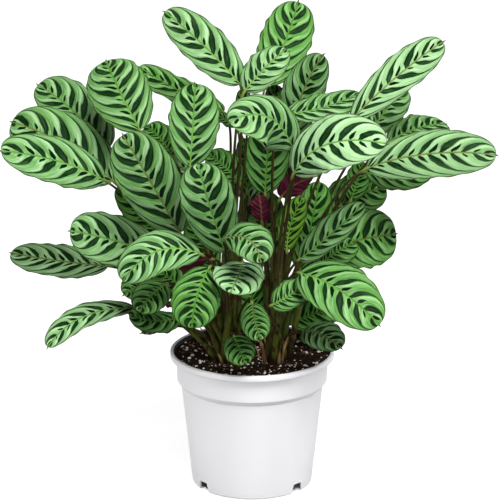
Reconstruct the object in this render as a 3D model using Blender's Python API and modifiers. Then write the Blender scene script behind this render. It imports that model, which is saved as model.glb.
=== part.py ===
"""A fishbone prayer plant in a white nursery pot: one clump of long stalks, each with one patterned blade.

The pot's foot stands on z = 0 with its axis on the origin, +Z is up and the front is towards -Y.
"""
import math

import bmesh
import bpy
import numpy as np

MM = 0.001

# Pot
POT_HEIGHT = 142.7 * MM
POT_SIDES = 36
RIM_RADIUS = 85.0 * MM
RIM_INNER = 81.0 * MM
LIP_DROP = 7.0 * MM
COLLAR_RADIUS = 78.6 * MM
COLLAR_DROP = 30.0 * MM
STEP_DROP = 37.5 * MM
BODY_RADIUS = 73.4 * MM
BASE_RADIUS = 62.4 * MM
FOOT_RADIUS = 60.0 * MM
FOOT_ROUND = 3.5 * MM
WALL = 1.7 * MM
FLOOR = 2.0 * MM
DRAIN_AZIMUTHS = (-143, -42, 90)
DRAIN_WIDTH = 16 * MM
DRAIN_HEIGHT = 9 * MM
DRAIN_DEPTH = 9 * MM

# Soil and the crowns that the stalks rise from
GAP = 0.3 * MM
SOIL_TOP = POT_HEIGHT - 5.2 * MM
EDGE_DROP = 0.15 * MM
SOIL_RINGS = (0, 46, 56, 66)
SWELL_HEIGHT = 1.4 * MM
SWELL_ACROSS = 48 * MM
SWELL_DEEP = 57 * MM
CROWN_ACROSS = 24.0 * MM
CROWN_DEEP = 19.5 * MM
CROWN_RADIUS = 17.0 * MM
CROWN_DEPTH = 14.0 * MM
CROWN_SIDES = 18
ROOT_SPREAD = 12.5 * MM
ROOT_DEPTH = 10.0 * MM

# Stalks, as radii and lengths
STALK_BASE = 2.8 * MM
STALK_END = 1.4 * MM
STALK_STEPS = 5
STALK_MARGIN = 3.4 * MM
STALK_RISE = 10 * MM
STALK_LEAN = 0.18
STALK_LEAD = 24 * MM

# Blades
BLADE_THICK = 1.0 * MM
BLADE_ROWS = 7
BLADE_COLUMNS = 4
FUSED_ROWS = 4
FUSED_COLUMNS = 2
FUSED_SINK = 4 * MM
HEEL_HALF = 1.4 * MM
HEEL_GAP = 0.8 * MM
EDGE_WAVES = 2.2

# The front view that the leaves' places are read in: a camera 3 m in front, looking 17 degrees down.
VIEW_EYE = np.array((-0.0027, -3.0, 1.172))
VIEW_PITCH = math.radians(17.08)
VIEW_FOCAL = 3061.6
VIEW_CENTRE = (249.5, 250.0)
FORWARD = np.array((0.0, math.cos(VIEW_PITCH), -math.sin(VIEW_PITCH)))
UPWARD = np.array((0.0, math.sin(VIEW_PITCH), math.cos(VIEW_PITCH)))
RIGHT = np.array((1.0, 0.0, 0.0))

leaves = []


def seen(place):
    """World point of a place: pixel across, pixel down, mm in front of the pot's axis."""
    across, down, near = place
    side = (across - VIEW_CENTRE[0]) / VIEW_FOCAL
    rise = (VIEW_CENTRE[1] - down) / VIEW_FOCAL
    ray = FORWARD + side * RIGHT + rise * UPWARD
    return VIEW_EYE + ray * (-near * MM - VIEW_EYE[1]) / ray[1]


def leaf(name, heel, bend, tip, wide, faces, turned=None, fold=(8, 8), curl=(-14, -14), share=(1, 1),
         wave=1.6, via=None, tone=0.0, fused=False):
    """Add a leaf by three places on its midrib, its width in mm and the way that its upper face looks.

    turned is that way at the tip. fold and curl are the left and the right half's angles in degrees, share
    is each half's part of the full half width, and via is a place that the stalk bends towards. A fused
    leaf is one body with its bunch of stalks.
    """
    leaves.append({
        "name": name, "heel": seen(heel), "bend": seen(bend), "tip": seen(tip), "wide": wide * MM,
        "faces": np.array(faces, float), "turned": np.array(turned or faces, float),
        "fold": np.radians(fold), "curl": np.radians(curl), "share": share, "wave": wave * MM,
        "via": None if via is None else seen(via), "tone": tone, "fused": fused})


def back_leaf(name, azimuth, heel, bend, tip, wide, sway=6):
    """Add a leaf behind the pot's axis: each place is (reach, height) in mm, azimuth 90 is straight back."""
    heading = math.radians(azimuth)

    def point(place, swing):
        reach, height = place
        way = heading + math.radians(swing)
        return np.array((reach * math.cos(way), reach * math.sin(way), height)) * MM

    upper = np.array((-0.35 * math.cos(heading), -0.35 * math.sin(heading), 0.93))
    leaves.append({
        "name": name, "heel": point(heel, -sway), "bend": point(bend, 0), "tip": point(tip, sway),
        "wide": wide * MM, "faces": upper, "turned": upper, "fold": np.radians((8, 8)),
        "curl": np.radians((-14, -14)), "share": (1, 1), "wave": 1.6 * MM, "via": None, "tone": 0.0,
        "fused": False})


def list_leaves():
    """The plant's leaves: those of the front as the front view shows them, those of the back by compass."""
    # The top of the plant.
    leaf("top_left", heel=(240, 84, 0), bend=(206, 48, -16), tip=(165, 12, -34), wide=44,
         faces=(.1, -.93, .35), share=(.95, 1.05))
    leaf("top_back", heel=(266, 84, -64), bend=(285, 42, -94), tip=(298, 2, -118), wide=53,
         faces=(0, -.95, .25))
    leaf("top_front", heel=(245, 91, 24), bend=(263, 70, 16), tip=(286, 49, 0), wide=38,
         faces=(-.3, -.85, .4))
    leaf("top_right", heel=(293, 139, -55), bend=(301, 97, -52), tip=(323, 55, -50), wide=44,
         faces=(-.15, -.95, .2), fold=(22, 12))
    leaf("right_high", heel=(352, 119, 8), bend=(400, 74, -6), tip=(443, 42, -20), wide=39,
         faces=(-.1, -.9, .4))
    leaf("right_high_back", heel=(366, 136, -56), bend=(387, 109, -80), tip=(404, 87, -110), wide=38,
         faces=(.1, -.9, .4))
    leaf("right_upper", heel=(287, 113, 0), bend=(322, 108, -12), tip=(360, 93, -40), wide=41,
         faces=(-.15, -.42, .9), fold=(15, 5))
    # The upper middle.
    leaf("centre_top", heel=(293, 149, 55), bend=(268, 117, 78), tip=(229, 122, 98), wide=58,
         faces=(-.1, -.8, .6), turned=(-.1, -.8, .6), curl=(-10, -18), share=(1.15, .8))
    leaf("left_high", heel=(140, 130, 30), bend=(119, 90, -12), tip=(106, 61, -48), wide=63,
         faces=(-.1, -.75, .6), curl=(-24, -24))
    leaf("left_high_back", heel=(223, 112, -66), bend=(181, 92, -92), tip=(139, 67, -108), wide=43,
         faces=(.25, -.45, .85), tone=-.3)
    leaf("centre_left", heel=(190, 166, 48), bend=(193, 124, 26), tip=(195, 84, -12), wide=50,
         faces=(0, -.9, .35), fold=(12, 12), curl=(-22, -22), share=(1, 1.07))
    leaf("left_upper_back", heel=(107, 149, -40), bend=(74, 112, -72), tip=(38, 85, -102), wide=58,
         faces=(.1, -.8, .6), share=(.85, 1.05))
    leaf("left_mid_back", heel=(113, 181, 4), bend=(65, 145, -16), tip=(12, 122, -44), wide=66,
         faces=(.1, -.85, .5))
    leaf("left_mid_front", heel=(104, 180, 36), bend=(57, 161, 56), tip=(1, 151, 84), wide=51,
         faces=(0, -.8, .6))
    leaf("left_big", heel=(180, 233, 60), bend=(150, 181, 78), tip=(123, 135, 70), wide=62,
         faces=(-.1, -.93, .35))
    leaf("centre_big", heel=(225, 252, 86), bend=(209, 204, 108), tip=(198, 164, 104), wide=54,
         faces=(0, -.95, .3))
    leaf("centre_back_small", heel=(239, 182, -22), bend=(225, 167, -30), tip=(208, 154, -36), wide=36,
         faces=(.1, -.7, .7), tone=-.5)
    leaf("centre_back", heel=(265, 193, -24), bend=(267, 158, -32), tip=(270, 120, -46), wide=47,
         faces=(0, -.95, .3), fold=(15, 15), tone=-.35)
    leaf("purple_back", heel=(281, 197, 0), bend=(296, 184, 4), tip=(313, 178, 2), wide=30,
         faces=(.2, .75, .6), tone=-.2)
    leaf("purple_small", heel=(262, 222, -8), bend=(261, 209, -4), tip=(259, 195, -6), wide=24,
         faces=(.3, .8, .5), tone=-.3)
    # The right side.
    leaf("right_front", heel=(294, 173, 68), bend=(329, 144, 92), tip=(386, 144, 112), wide=58,
         faces=(-.25, -.75, .6), turned=(0, -.85, .5))
    leaf("right_long", heel=(368, 168, 22), bend=(428, 154, 34), tip=(496, 155, 40), wide=50,
         faces=(0, -.85, .5), fold=(8, 2))
    leaf("right_under", heel=(366, 172, 2), bend=(396, 177, -14), tip=(431, 171, -34), wide=31,
         faces=(0, -.8, .6), tone=-.3)
    leaf("right_back_small", heel=(389, 141, -26), bend=(419, 128, -50), tip=(446, 124, -80), wide=40,
         faces=(0, -.55, .85), tone=-.1)
    leaf("right_mid_dark", heel=(319, 222, -37), bend=(350, 199, -53), tip=(386, 188, -76), wide=48,
         faces=(0, -.85, .5), tone=-.45)
    leaf("right_rolled", heel=(300, 259, 52), bend=(329, 236, 62), tip=(364, 204, 58), wide=38,
         faces=(-.3, -.75, .6), fold=(30, 20), share=(.9, .9))
    leaf("right_round", heel=(330, 247, 12), bend=(364, 239, -4), tip=(396, 234, -32), wide=61,
         faces=(0, -.95, .3), tone=-.1)
    leaf("right_inner", heel=(316, 268, 30), bend=(335, 253, 30), tip=(355, 242, 16), wide=34,
         faces=(0, -.7, .7), tone=-.35)
    leaf("right_low_front", heel=(300, 273, 74), bend=(339, 290, 108), tip=(379, 325, 126), wide=61,
         faces=(.2, -.8, .6))
    leaf("right_low_back", heel=(272, 305, 84), bend=(290, 295, 82), tip=(312, 281, 66), wide=32,
         faces=(-.2, -.8, .6), tone=-.25)
    leaf("low_right_small", heel=(303, 331, 40), bend=(320, 334, 68), tip=(341, 348, 92), wide=36,
         faces=(.1, -.8, .6), tone=-.25)
    # The small leaves low in the middle.
    leaf("low_centre_small", heel=(234, 336, 56), bend=(239, 349, 80), tip=(246, 364, 98), wide=32,
         faces=(0, -.85, .5), tone=-.3)
    leaf("low_centre_upper", heel=(252, 303, 70), bend=(255, 321, 92), tip=(261, 340, 106), wide=30,
         faces=(0, -.85, .5), tone=-.3)
    leaf("centre_crumpled", heel=(243, 262, 90), bend=(239, 275, 124), tip=(230, 293, 148), wide=52,
         faces=(0, -.6, .8), wave=3)
    leaf("centre_small_light", heel=(226, 238, 116), bend=(249, 240, 136), tip=(261, 263, 150), wide=42,
         faces=(.1, -.75, .65), via=(224, 270, 96))
    # The left side.
    leaf("left_folded", heel=(200, 254, 96), bend=(158, 251, 116), tip=(123, 281, 128), wide=48,
         faces=(0, -.75, .65), fold=(5, 5), curl=(-10, -24))
    leaf("left_mid", heel=(166, 257, 34), bend=(112, 240, 54), tip=(70, 231, 70), wide=52,
         faces=(0, -.9, .45))
    leaf("left_low", heel=(108, 266, 15), bend=(60, 261, -6), tip=(11, 253, -34), wide=38,
         faces=(0, -.75, .65))
    leaf("left_curly", heel=(135, 308, 28), bend=(83, 317, 56), tip=(48, 347, 78), wide=33,
         faces=(.1, -.8, .6), fold=(25, 5), curl=(10, -50))
    leaf("left_inner", heel=(166, 284, 60), bend=(152, 295, 82), tip=(139, 312, 98), wide=36,
         faces=(0, -.8, .6), tone=-.25)
    leaf("left_inner_back", heel=(158, 282, 36), bend=(140, 286, 46), tip=(124, 295, 56), wide=30,
         faces=(0, -.8, .6), tone=-.3)
    leaf("left_under", heel=(180, 317, 44), bend=(154, 321, 62), tip=(129, 314, 74), wide=33,
         faces=(0, -.6, .8), tone=-.3)
    leaf("front_hanging", heel=(209, 268, 98), bend=(197, 296, 128), tip=(192, 328, 140), wide=50,
         faces=(-.1, -.9, .4))
    leaf("young_upright", heel=(287, 250, 26), bend=(291, 224, 22), tip=(303, 197, 16), wide=26,
         faces=(0, -.95, .3), tone=.5)
    leaf("dark_left_high", heel=(172, 156, -20), bend=(160, 138, -36), tip=(146, 126, -54), wide=32,
         faces=(0, -.75, .65), tone=-.5)
    leaf("dark_left_under", heel=(160, 236, -26), bend=(141, 213, -42), tip=(118, 186, -58), wide=34,
         faces=(-.45, -.75, .5), tone=-.6)
    # The back, which the front view doesn't show.
    back_leaf("back_right_middle", azimuth=26, heel=(80, 250), bend=(120, 266), tip=(156, 244), wide=46)
    back_leaf("back_right_upper", azimuth=60, heel=(66, 296), bend=(116, 326), tip=(170, 310), wide=52)
    back_leaf("back_right_low", azimuth=52, heel=(84, 196), bend=(136, 212), tip=(186, 176), wide=48)
    back_leaf("back_centre_upper", azimuth=98, heel=(62, 284), bend=(112, 306), tip=(166, 282), wide=50)
    back_leaf("back_centre_low", azimuth=88, heel=(72, 210), bend=(126, 230), tip=(182, 202), wide=48)
    back_leaf("back_left_upper", azimuth=134, heel=(70, 290), bend=(122, 318), tip=(176, 292), wide=52)
    back_leaf("back_left_middle", azimuth=158, heel=(78, 232), bend=(130, 252), tip=(182, 226), wide=50)
    back_leaf("back_left_low", azimuth=122, heel=(80, 192), bend=(132, 204), tip=(180, 168), wide=46)
    # Shaded leaves inside the clump, and one small new leaf low on the left.
    leaf("inner_right", heel=(300, 270, 6), bend=(311, 226, -8), tip=(319, 182, -22), wide=40,
         faces=(0, -.9, .4), tone=-.5, fused=True)
    leaf("inner_right_low", heel=(290, 324, -18), bend=(314, 314, -26), tip=(341, 304, -34), wide=38,
         faces=(0, -.8, .6), tone=-.6, fused=True)
    leaf("inner_centre", heel=(257, 318, -30), bend=(252, 296, -38), tip=(247, 272, -46), wide=34,
         faces=(0, -.9, .4), tone=-.6, fused=True)
    leaf("inner_centre_high", heel=(270, 262, -58), bend=(264, 228, -70), tip=(259, 190, -82), wide=54,
         faces=(0, -.9, .4), tone=-.6, fused=True)
    leaf("inner_left", heel=(196, 300, 4), bend=(178, 284, -6), tip=(157, 270, -16), wide=34,
         faces=(0, -.85, .5), tone=-.5, fused=True)
    leaf("inner_left_high", heel=(216, 266, -18), bend=(203, 245, -25), tip=(190, 222, -32), wide=32,
         faces=(0, -.9, .4), tone=-.6, fused=True)
    leaf("purple_left", heel=(211, 259, 50), bend=(194, 261, 54), tip=(176, 268, 52), wide=26,
         faces=(.1, .75, .6), tone=-.2, fused=True)
    leaf("left_tiny", heel=(172, 326, 52), bend=(158, 328, 62), tip=(142, 333, 70), wide=11,
         faces=(0, -.7, .7), fused=True)
    leaf("inner_top", heel=(247, 190, -44), bend=(245, 164, -48), tip=(243, 138, -54), wide=19,
         faces=(0, -.9, .4), tone=-.4, fused=True)
    leaf("inner_high", heel=(284, 142, -62), bend=(279, 114, -74), tip=(273, 85, -88), wide=28,
         faces=(0, -.9, .4), tone=-.4, fused=True)
    leaf("centre_tiny", heel=(236, 127, -50), bend=(227, 120, -54), tip=(217, 115, -58), wide=14,
         faces=(0, -.7, .7), tone=-.4, fused=True)
    leaf("inner_front_high", heel=(247, 122, -16), bend=(245, 107, -20), tip=(242, 89, -26), wide=18,
         faces=(0, -.9, .4), tone=-.4, fused=True)
    leaf("purple_low", heel=(182, 308, 18), bend=(173, 305, 22), tip=(164, 303, 24), wide=14,
         faces=(.1, .75, .6), tone=-.2, fused=True)
    leaf("inner_right_top", heel=(351, 200, -34), bend=(357, 182, -42), tip=(363, 162, -52), wide=26,
         faces=(0, -.9, .4), tone=-.5, fused=True)


def midrib(one, u):
    """Points and unit directions along a leaf's midrib; u is 0 at the heel and 1 at the tip."""
    u = np.asarray(u, float)[..., None]
    pull = 2 * one["bend"] - (one["heel"] + one["tip"]) / 2
    points = (1 - u) ** 2 * one["heel"] + 2 * u * (1 - u) * pull + u ** 2 * one["tip"]
    along = 2 * (1 - u) * (pull - one["heel"]) + 2 * u * (one["tip"] - pull)
    return points, along / np.linalg.norm(along, axis=-1, keepdims=True)


def half_width(one, u):
    """Half of a blade's width at u: oblong with round ends, widest just past the middle."""
    shifted = np.asarray(u, float) ** 1.1
    return one["wide"] / 2 * np.maximum(4 * shifted * (1 - shifted), 0) ** 0.42


def blade_points(one, u, v):
    """Points of a blade's middle surface; v is -1 at its left edge, 0 on the midrib, 1 at its right edge."""
    u, v = np.broadcast_arrays(np.asarray(u, float), np.asarray(v, float))
    spine, along = midrib(one, u)
    face = one["faces"] * (1 - u)[..., None] + one["turned"] * u[..., None]
    side = np.cross(along, face)
    side /= np.linalg.norm(side, axis=-1, keepdims=True)
    up = np.cross(side, along)
    right = v > 0
    out = np.abs(v)
    width = np.maximum(half_width(one, u), HEEL_HALF * (1 - u))
    width = width * np.where(right, one["share"][1], one["share"][0])
    fold = np.where(right, one["fold"][1], one["fold"][0])
    curl = np.where(right, one["curl"][1], one["curl"][0])
    across = (np.sin(fold + curl * out) - np.sin(fold)) / curl * width
    lift = (np.cos(fold) - np.cos(fold + curl * out)) / curl * width
    ripple = np.sin(2 * math.pi * (EDGE_WAVES * u + 0.25 * right)) * np.sin(math.pi * u)
    lift = lift + one["wave"] * out ** 2 * ripple
    return spine + side * (np.sign(v) * across)[..., None] + up * lift[..., None]


def quarter(one):
    """The quarter of the pot that a leaf's stalk grows in: -1 or 1 across, -1 or 1 from front to back."""
    return (1 if one["heel"][0] > 0 else -1, 1 if one["heel"][1] > 0 else -1)


def stalk_points(one, number):
    """Points along a leaf's stalk, from its crown to just short of the heel, or into a fused blade."""
    across, depth = quarter(one)
    turn = number * math.pi * (3 - math.sqrt(5))
    spread = ROOT_SPREAD * math.sqrt((number * (math.sqrt(5) - 1) / 2) % 1.0)
    root = np.array((across * CROWN_ACROSS + spread * math.cos(turn),
                     depth * CROWN_DEEP + spread * math.sin(turn), SOIL_TOP - ROOT_DEPTH))
    heel, along = midrib(one, 0.0)
    low = root + (heel - root) * (STALK_LEAN, STALK_LEAN, 0.5) + (0.0, 0.0, STALK_RISE)
    high = heel - along * STALK_LEAD if one["via"] is None else one["via"].copy()
    for hold in (low, high):
        hold[0] = across * max(across * hold[0], STALK_MARGIN)
        hold[1] = depth * max(depth * hold[1], STALK_MARGIN)
    end = heel if one["fused"] else heel + HEEL_GAP * (high - heel) / np.linalg.norm(high - heel)
    t = np.linspace(0, 1, STALK_STEPS + 1)[:, None]
    line = (1 - t) ** 3 * root + 3 * (1 - t) ** 2 * t * low + 3 * (1 - t) * t * t * high + t ** 3 * end
    return np.vstack((line, heel + along * FUSED_SINK)) if one["fused"] else line


def make_material(name, colour, roughness):
    """A Principled material of one colour."""
    material = bpy.data.materials.new(name)
    material.use_nodes = True
    shader = material.node_tree.nodes["Principled BSDF"]
    shader.inputs["Base Color"].default_value = (*colour, 1.0)
    shader.inputs["Roughness"].default_value = roughness
    shader.inputs["Metallic"].default_value = 0.0
    material.diffuse_color = (*colour, 1.0)
    return material


def place_object(name, data, collection, material=None):
    """Link a new object to a collection and give it a material."""
    new = bpy.data.objects.new(name, data)
    collection.objects.link(new)
    if material is not None:
        data.materials.append(material)
    return new


def baked(thing):
    """A mesh of an object as it is evaluated, its loose caps welded."""
    mesh = bpy.data.meshes.new_from_object(thing.evaluated_get(bpy.context.evaluated_depsgraph_get()))
    work = bmesh.new()
    work.from_mesh(mesh)
    bmesh.ops.remove_doubles(work, verts=work.verts, dist=1e-6)
    work.to_mesh(mesh)
    work.free()
    return mesh


def keep_outer_skin(mesh):
    """Fill the small hollows that crossing stalks seal, by keeping only the mesh's largest island."""
    work = bmesh.new()
    work.from_mesh(mesh)
    islands = []
    left = set(work.faces)
    while left:
        front = [left.pop()]
        island = list(front)
        while front:
            face = front.pop()
            near = {other for edge in face.edges for other in edge.link_faces if other in left}
            left -= near
            front += near
            island += near
        islands.append(island)
    islands.sort(key=len)
    for island in islands[:-1]:
        bmesh.ops.delete(work, geom=island, context="FACES")
    work.to_mesh(mesh)
    work.free()


def profile_mesh(name, points):
    """An open line of (radius, height) points in the XZ plane, to be turned by a Screw modifier."""
    mesh = bpy.data.meshes.new(name)
    work = bmesh.new()
    line = [work.verts.new((radius, 0.0, height)) for radius, height in points]
    for first, second in zip(line, line[1:]):
        work.edges.new((first, second))
    work.to_mesh(mesh)
    work.free()
    return mesh


def turn_profile(thing, steps):
    """Turn an object's profile once round Z."""
    screw = thing.modifiers.new("turn", "SCREW")
    screw.steps = steps
    screw.render_steps = steps
    screw.use_merge_vertices = True
    screw.merge_threshold = 1e-5


def cut(thing, cutter):
    """Cut a tool's shape out of an object."""
    cutter.hide_render = True
    cutter.display_type = "WIRE"
    boolean = thing.modifiers.new("cut " + cutter.name, "BOOLEAN")
    boolean.operation = "DIFFERENCE"
    boolean.object = cutter


def outer_profile():
    """The pot's outside from the rim's top to the foot, as (radius, height)."""
    return [
        (RIM_RADIUS - 1.8 * MM, POT_HEIGHT), (RIM_RADIUS - 0.4 * MM, POT_HEIGHT - 0.8 * MM),
        (RIM_RADIUS, POT_HEIGHT - 2.2 * MM), (RIM_RADIUS - 0.4 * MM, POT_HEIGHT - LIP_DROP + 0.8 * MM),
        (RIM_RADIUS - 2.2 * MM, POT_HEIGHT - LIP_DROP), (COLLAR_RADIUS, POT_HEIGHT - LIP_DROP - 0.4 * MM),
        (COLLAR_RADIUS - 1.0 * MM, POT_HEIGHT - COLLAR_DROP), (BODY_RADIUS, POT_HEIGHT - STEP_DROP),
        (BASE_RADIUS, FOOT_ROUND), (BASE_RADIUS - 0.8 * MM, 0.9 * MM), (FOOT_RADIUS, 0.0), (0.0, 0.0)]


def inner_profile():
    """The pot's inside from the middle of the floor up to the rim, as (radius, height)."""
    return [
        (0.0, FLOOR), (BASE_RADIUS - WALL, FLOOR), (BODY_RADIUS - WALL, POT_HEIGHT - STEP_DROP),
        (COLLAR_RADIUS - 1.0 * MM - WALL, POT_HEIGHT - COLLAR_DROP),
        (COLLAR_RADIUS - WALL, POT_HEIGHT - LIP_DROP - 0.4 * MM),
        (RIM_INNER, POT_HEIGHT - LIP_DROP + 1.6 * MM), (RIM_INNER + 0.3 * MM, POT_HEIGHT - 1.0 * MM)]


def make_pot(collection, tools):
    """The nursery pot: rolled rim, collar, step, tapered wall and three drain notches at the foot."""
    pot = place_object("pot", profile_mesh("pot", inner_profile() + outer_profile()), collection,
                       make_material("white plastic", (0.84, 0.84, 0.85), 0.4))
    turn_profile(pot, POT_SIDES)
    for azimuth in DRAIN_AZIMUTHS:
        way = math.radians(azimuth)
        work = bmesh.new()
        bmesh.ops.create_cube(work, size=1.0)
        bmesh.ops.scale(work, vec=(DRAIN_DEPTH, DRAIN_WIDTH, 2 * DRAIN_HEIGHT), verts=work.verts)
        mesh = bpy.data.meshes.new("drain")
        work.to_mesh(mesh)
        work.free()
        drain = place_object("drain", mesh, tools)
        drain.location = (BASE_RADIUS * math.cos(way), BASE_RADIUS * math.sin(way), 0.0)
        drain.rotation_euler = (0.0, 0.0, way)
        cut(pot, drain)
    return pot


def soil_profile():
    """The filling from the middle of its top out to the wall, down beside the wall and in along the floor."""
    heights = [height for radius, height in inner_profile()]
    radii = [radius for radius, height in inner_profile()]
    edge = float(np.interp(SOIL_TOP, heights[1:], radii[1:])) - GAP
    top = [(ring * MM, SOIL_TOP) for ring in SOIL_RINGS] + [(edge, SOIL_TOP - EDGE_DROP)]
    wall = [(radius - GAP, height + GAP) for radius, height in inner_profile()[4:0:-1]]
    return top + wall + [(0.0, FLOOR + GAP)]


def roughen(mesh):
    """Let the soil's top swell and sink in long waves between the crowns and the wall."""
    turn = 2 * math.pi
    for vertex in mesh.vertices:
        place = vertex.co
        reach = math.hypot(place.x, place.y) / MM
        if place.z > SOIL_TOP - EDGE_DROP / 2 and reach > SOIL_RINGS[1] + 1:
            swell = math.sin(turn * place.x / SWELL_ACROSS + 1) * math.cos(turn * place.y / SWELL_DEEP)
            place.z += SWELL_HEIGHT * swell


def crown_centres():
    """The four spots where the clump's crowns sit in the soil."""
    return [(across, depth) for across in (-1, 1) for depth in (-1, 1)]


def round_block(name, centre, radius, low, high, collection):
    """An upright cylinder."""
    work = bmesh.new()
    bmesh.ops.create_cone(work, cap_ends=True, segments=CROWN_SIDES, radius1=radius, radius2=radius,
                          depth=high - low)
    mesh = bpy.data.meshes.new(name)
    work.to_mesh(mesh)
    work.free()
    block = place_object(name, mesh, collection)
    block.location = (centre[0] * CROWN_ACROSS, centre[1] * CROWN_DEEP, (low + high) / 2)
    return block


def make_soil(collection, tools):
    """The potting soil, with a plain hole for each crown."""
    soil = place_object("soil", profile_mesh("soil", soil_profile()), collection)
    turn_profile(soil, POT_SIDES)
    turned = baked(soil)
    soil.modifiers.clear()
    soil.data = turned
    soil.data.materials.append(make_material("potting soil", (0.035, 0.02, 0.013), 0.95))
    roughen(turned)
    for centre in crown_centres():
        hole = round_block("crown hole", centre, CROWN_RADIUS + GAP, SOIL_TOP - CROWN_DEPTH - GAP,
                           SOIL_TOP + CROWN_DEPTH, tools)
        cut(soil, hole)
    return soil


def make_stalk(one, number, collection):
    """One stalk as a mesh: a tapered tube with filled caps."""
    points = stalk_points(one, number)
    data = bpy.data.curves.new("stalk", "CURVE")
    data.dimensions = "3D"
    data.bevel_depth = 1.0
    data.bevel_resolution = 1
    data.use_fill_caps = True
    line = data.splines.new("POLY")
    line.points.add(len(points) - 1)
    for share, point, knot in zip(np.linspace(0, 1, len(points)), points, line.points):
        knot.co = (*point, 1.0)
        knot.radius = STALK_BASE + (STALK_END - STALK_BASE) * share
    curve = place_object("stalk curve", data, collection)
    mesh = baked(curve)
    bpy.data.objects.remove(curve)
    return place_object("stalk", mesh, collection)


def make_stalks(centre, collection):
    """The stalks of one quarter, their fused blades and the crown that they rise from, in one body."""
    side = "right" if centre[0] > 0 else "left"
    end = "back" if centre[1] > 0 else "front"
    repeats = bpy.data.collections.new("stalks")
    bpy.context.scene.collection.children.link(repeats)
    for number, one in enumerate(leaves):
        if quarter(one) == centre:
            make_stalk(one, number, repeats)
            if one["fused"]:
                make_fused_blade(one, repeats)
    crown = round_block(f"stalks_{end}_{side}", centre, CROWN_RADIUS, SOIL_TOP - CROWN_DEPTH,
                        SOIL_TOP - 1 * MM, collection)
    join = crown.modifiers.new("join", "BOOLEAN")
    join.operation = "UNION"
    join.operand_type = "COLLECTION"
    join.collection = repeats
    whole = baked(crown)
    keep_outer_skin(whole)
    crown.modifiers.clear()
    crown.data = whole
    whole.materials.clear()
    whole.materials.append(make_material(f"stalk {end} {side}", (0.13, 0.12, 0.035), 0.5))
    for stalk in list(repeats.objects):
        bpy.data.objects.remove(stalk)
    bpy.data.collections.remove(repeats)
    return crown


def blade_material(one):
    """The mean green of a blade's upper side, darker for a blade in shade."""
    light = 1 + 0.4 * one["tone"]
    return make_material("blade " + one["name"], (0.16 * light, 0.36 * light, 0.15 * light), 0.42)


def place_blade(one, row_count, column_count, collection, material=None):
    """One blade: a gently waved sheet, split into triangles before it is given its thickness."""
    rows = (1 - np.cos(np.linspace(0, math.pi, row_count + 1))) / 2
    columns = np.linspace(-1, 1, column_count + 1)
    work = bmesh.new()
    bmesh.ops.create_grid(work, x_segments=column_count, y_segments=row_count, size=1.0)
    for vertex in work.verts:
        column = round((vertex.co.x + 1) / 2 * column_count)
        row = round((vertex.co.y + 1) / 2 * row_count)
        vertex.co = blade_points(one, rows[row], columns[column])
    bmesh.ops.remove_doubles(work, verts=work.verts, dist=0.01 * MM)
    bmesh.ops.triangulate(work, faces=work.faces)
    mesh = bpy.data.meshes.new(one["name"])
    work.to_mesh(mesh)
    work.free()
    mesh.shade_smooth()
    blade = place_object("leaf_" + one["name"], mesh, collection, material)
    solid = blade.modifiers.new("thickness", "SOLIDIFY")
    solid.thickness = BLADE_THICK
    solid.offset = 0.0
    return blade


def make_blade(one, collection):
    """One blade that is a node of its own."""
    return place_blade(one, BLADE_ROWS, BLADE_COLUMNS, collection, blade_material(one))


def make_fused_blade(one, collection):
    """One shaded blade, plainer, for the union with its bunch of stalks."""
    blade = place_blade(one, FUSED_ROWS, FUSED_COLUMNS, collection)
    whole = baked(blade)
    blade.modifiers.clear()
    blade.data = whole
    return blade


def build():
    """Make the whole plant."""
    for old in list(bpy.data.objects):
        bpy.data.objects.remove(old)
    plant = bpy.data.collections.new("prayer plant")
    tools = bpy.data.collections.new("cutters")
    for collection in (plant, tools):
        bpy.context.scene.collection.children.link(collection)
    list_leaves()
    make_pot(plant, tools)
    make_soil(plant, tools)
    for centre in crown_centres():
        make_stalks(centre, plant)
    for one in leaves:
        if not one["fused"]:
            make_blade(one, plant)


build()
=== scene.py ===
"""The looks of a fishbone prayer plant in a white nursery pot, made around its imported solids.

Every blade, bunch of stalks, the pot and its soil is a finer piece in the place of the solid it stands for.
Sizes are in metres, +Z is up, and the front is towards -Y.
"""

import math

import bmesh
import bpy
import numpy as np
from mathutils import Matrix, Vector


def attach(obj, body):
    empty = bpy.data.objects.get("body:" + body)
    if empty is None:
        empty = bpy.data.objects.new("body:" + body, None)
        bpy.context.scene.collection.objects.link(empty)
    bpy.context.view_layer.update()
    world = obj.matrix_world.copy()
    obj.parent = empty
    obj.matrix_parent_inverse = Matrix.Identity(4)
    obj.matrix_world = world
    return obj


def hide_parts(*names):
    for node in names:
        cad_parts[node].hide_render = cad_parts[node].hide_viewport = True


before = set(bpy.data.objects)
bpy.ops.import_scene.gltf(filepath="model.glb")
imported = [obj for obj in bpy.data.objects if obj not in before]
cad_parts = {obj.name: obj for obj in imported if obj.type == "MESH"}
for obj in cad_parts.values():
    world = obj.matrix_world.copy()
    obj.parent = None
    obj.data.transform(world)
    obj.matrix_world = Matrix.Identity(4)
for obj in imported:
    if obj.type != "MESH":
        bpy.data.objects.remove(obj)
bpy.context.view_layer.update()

MM = 0.001
TURN = 2 * math.pi
GOLDEN = (math.sqrt(5) - 1) / 2

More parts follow.
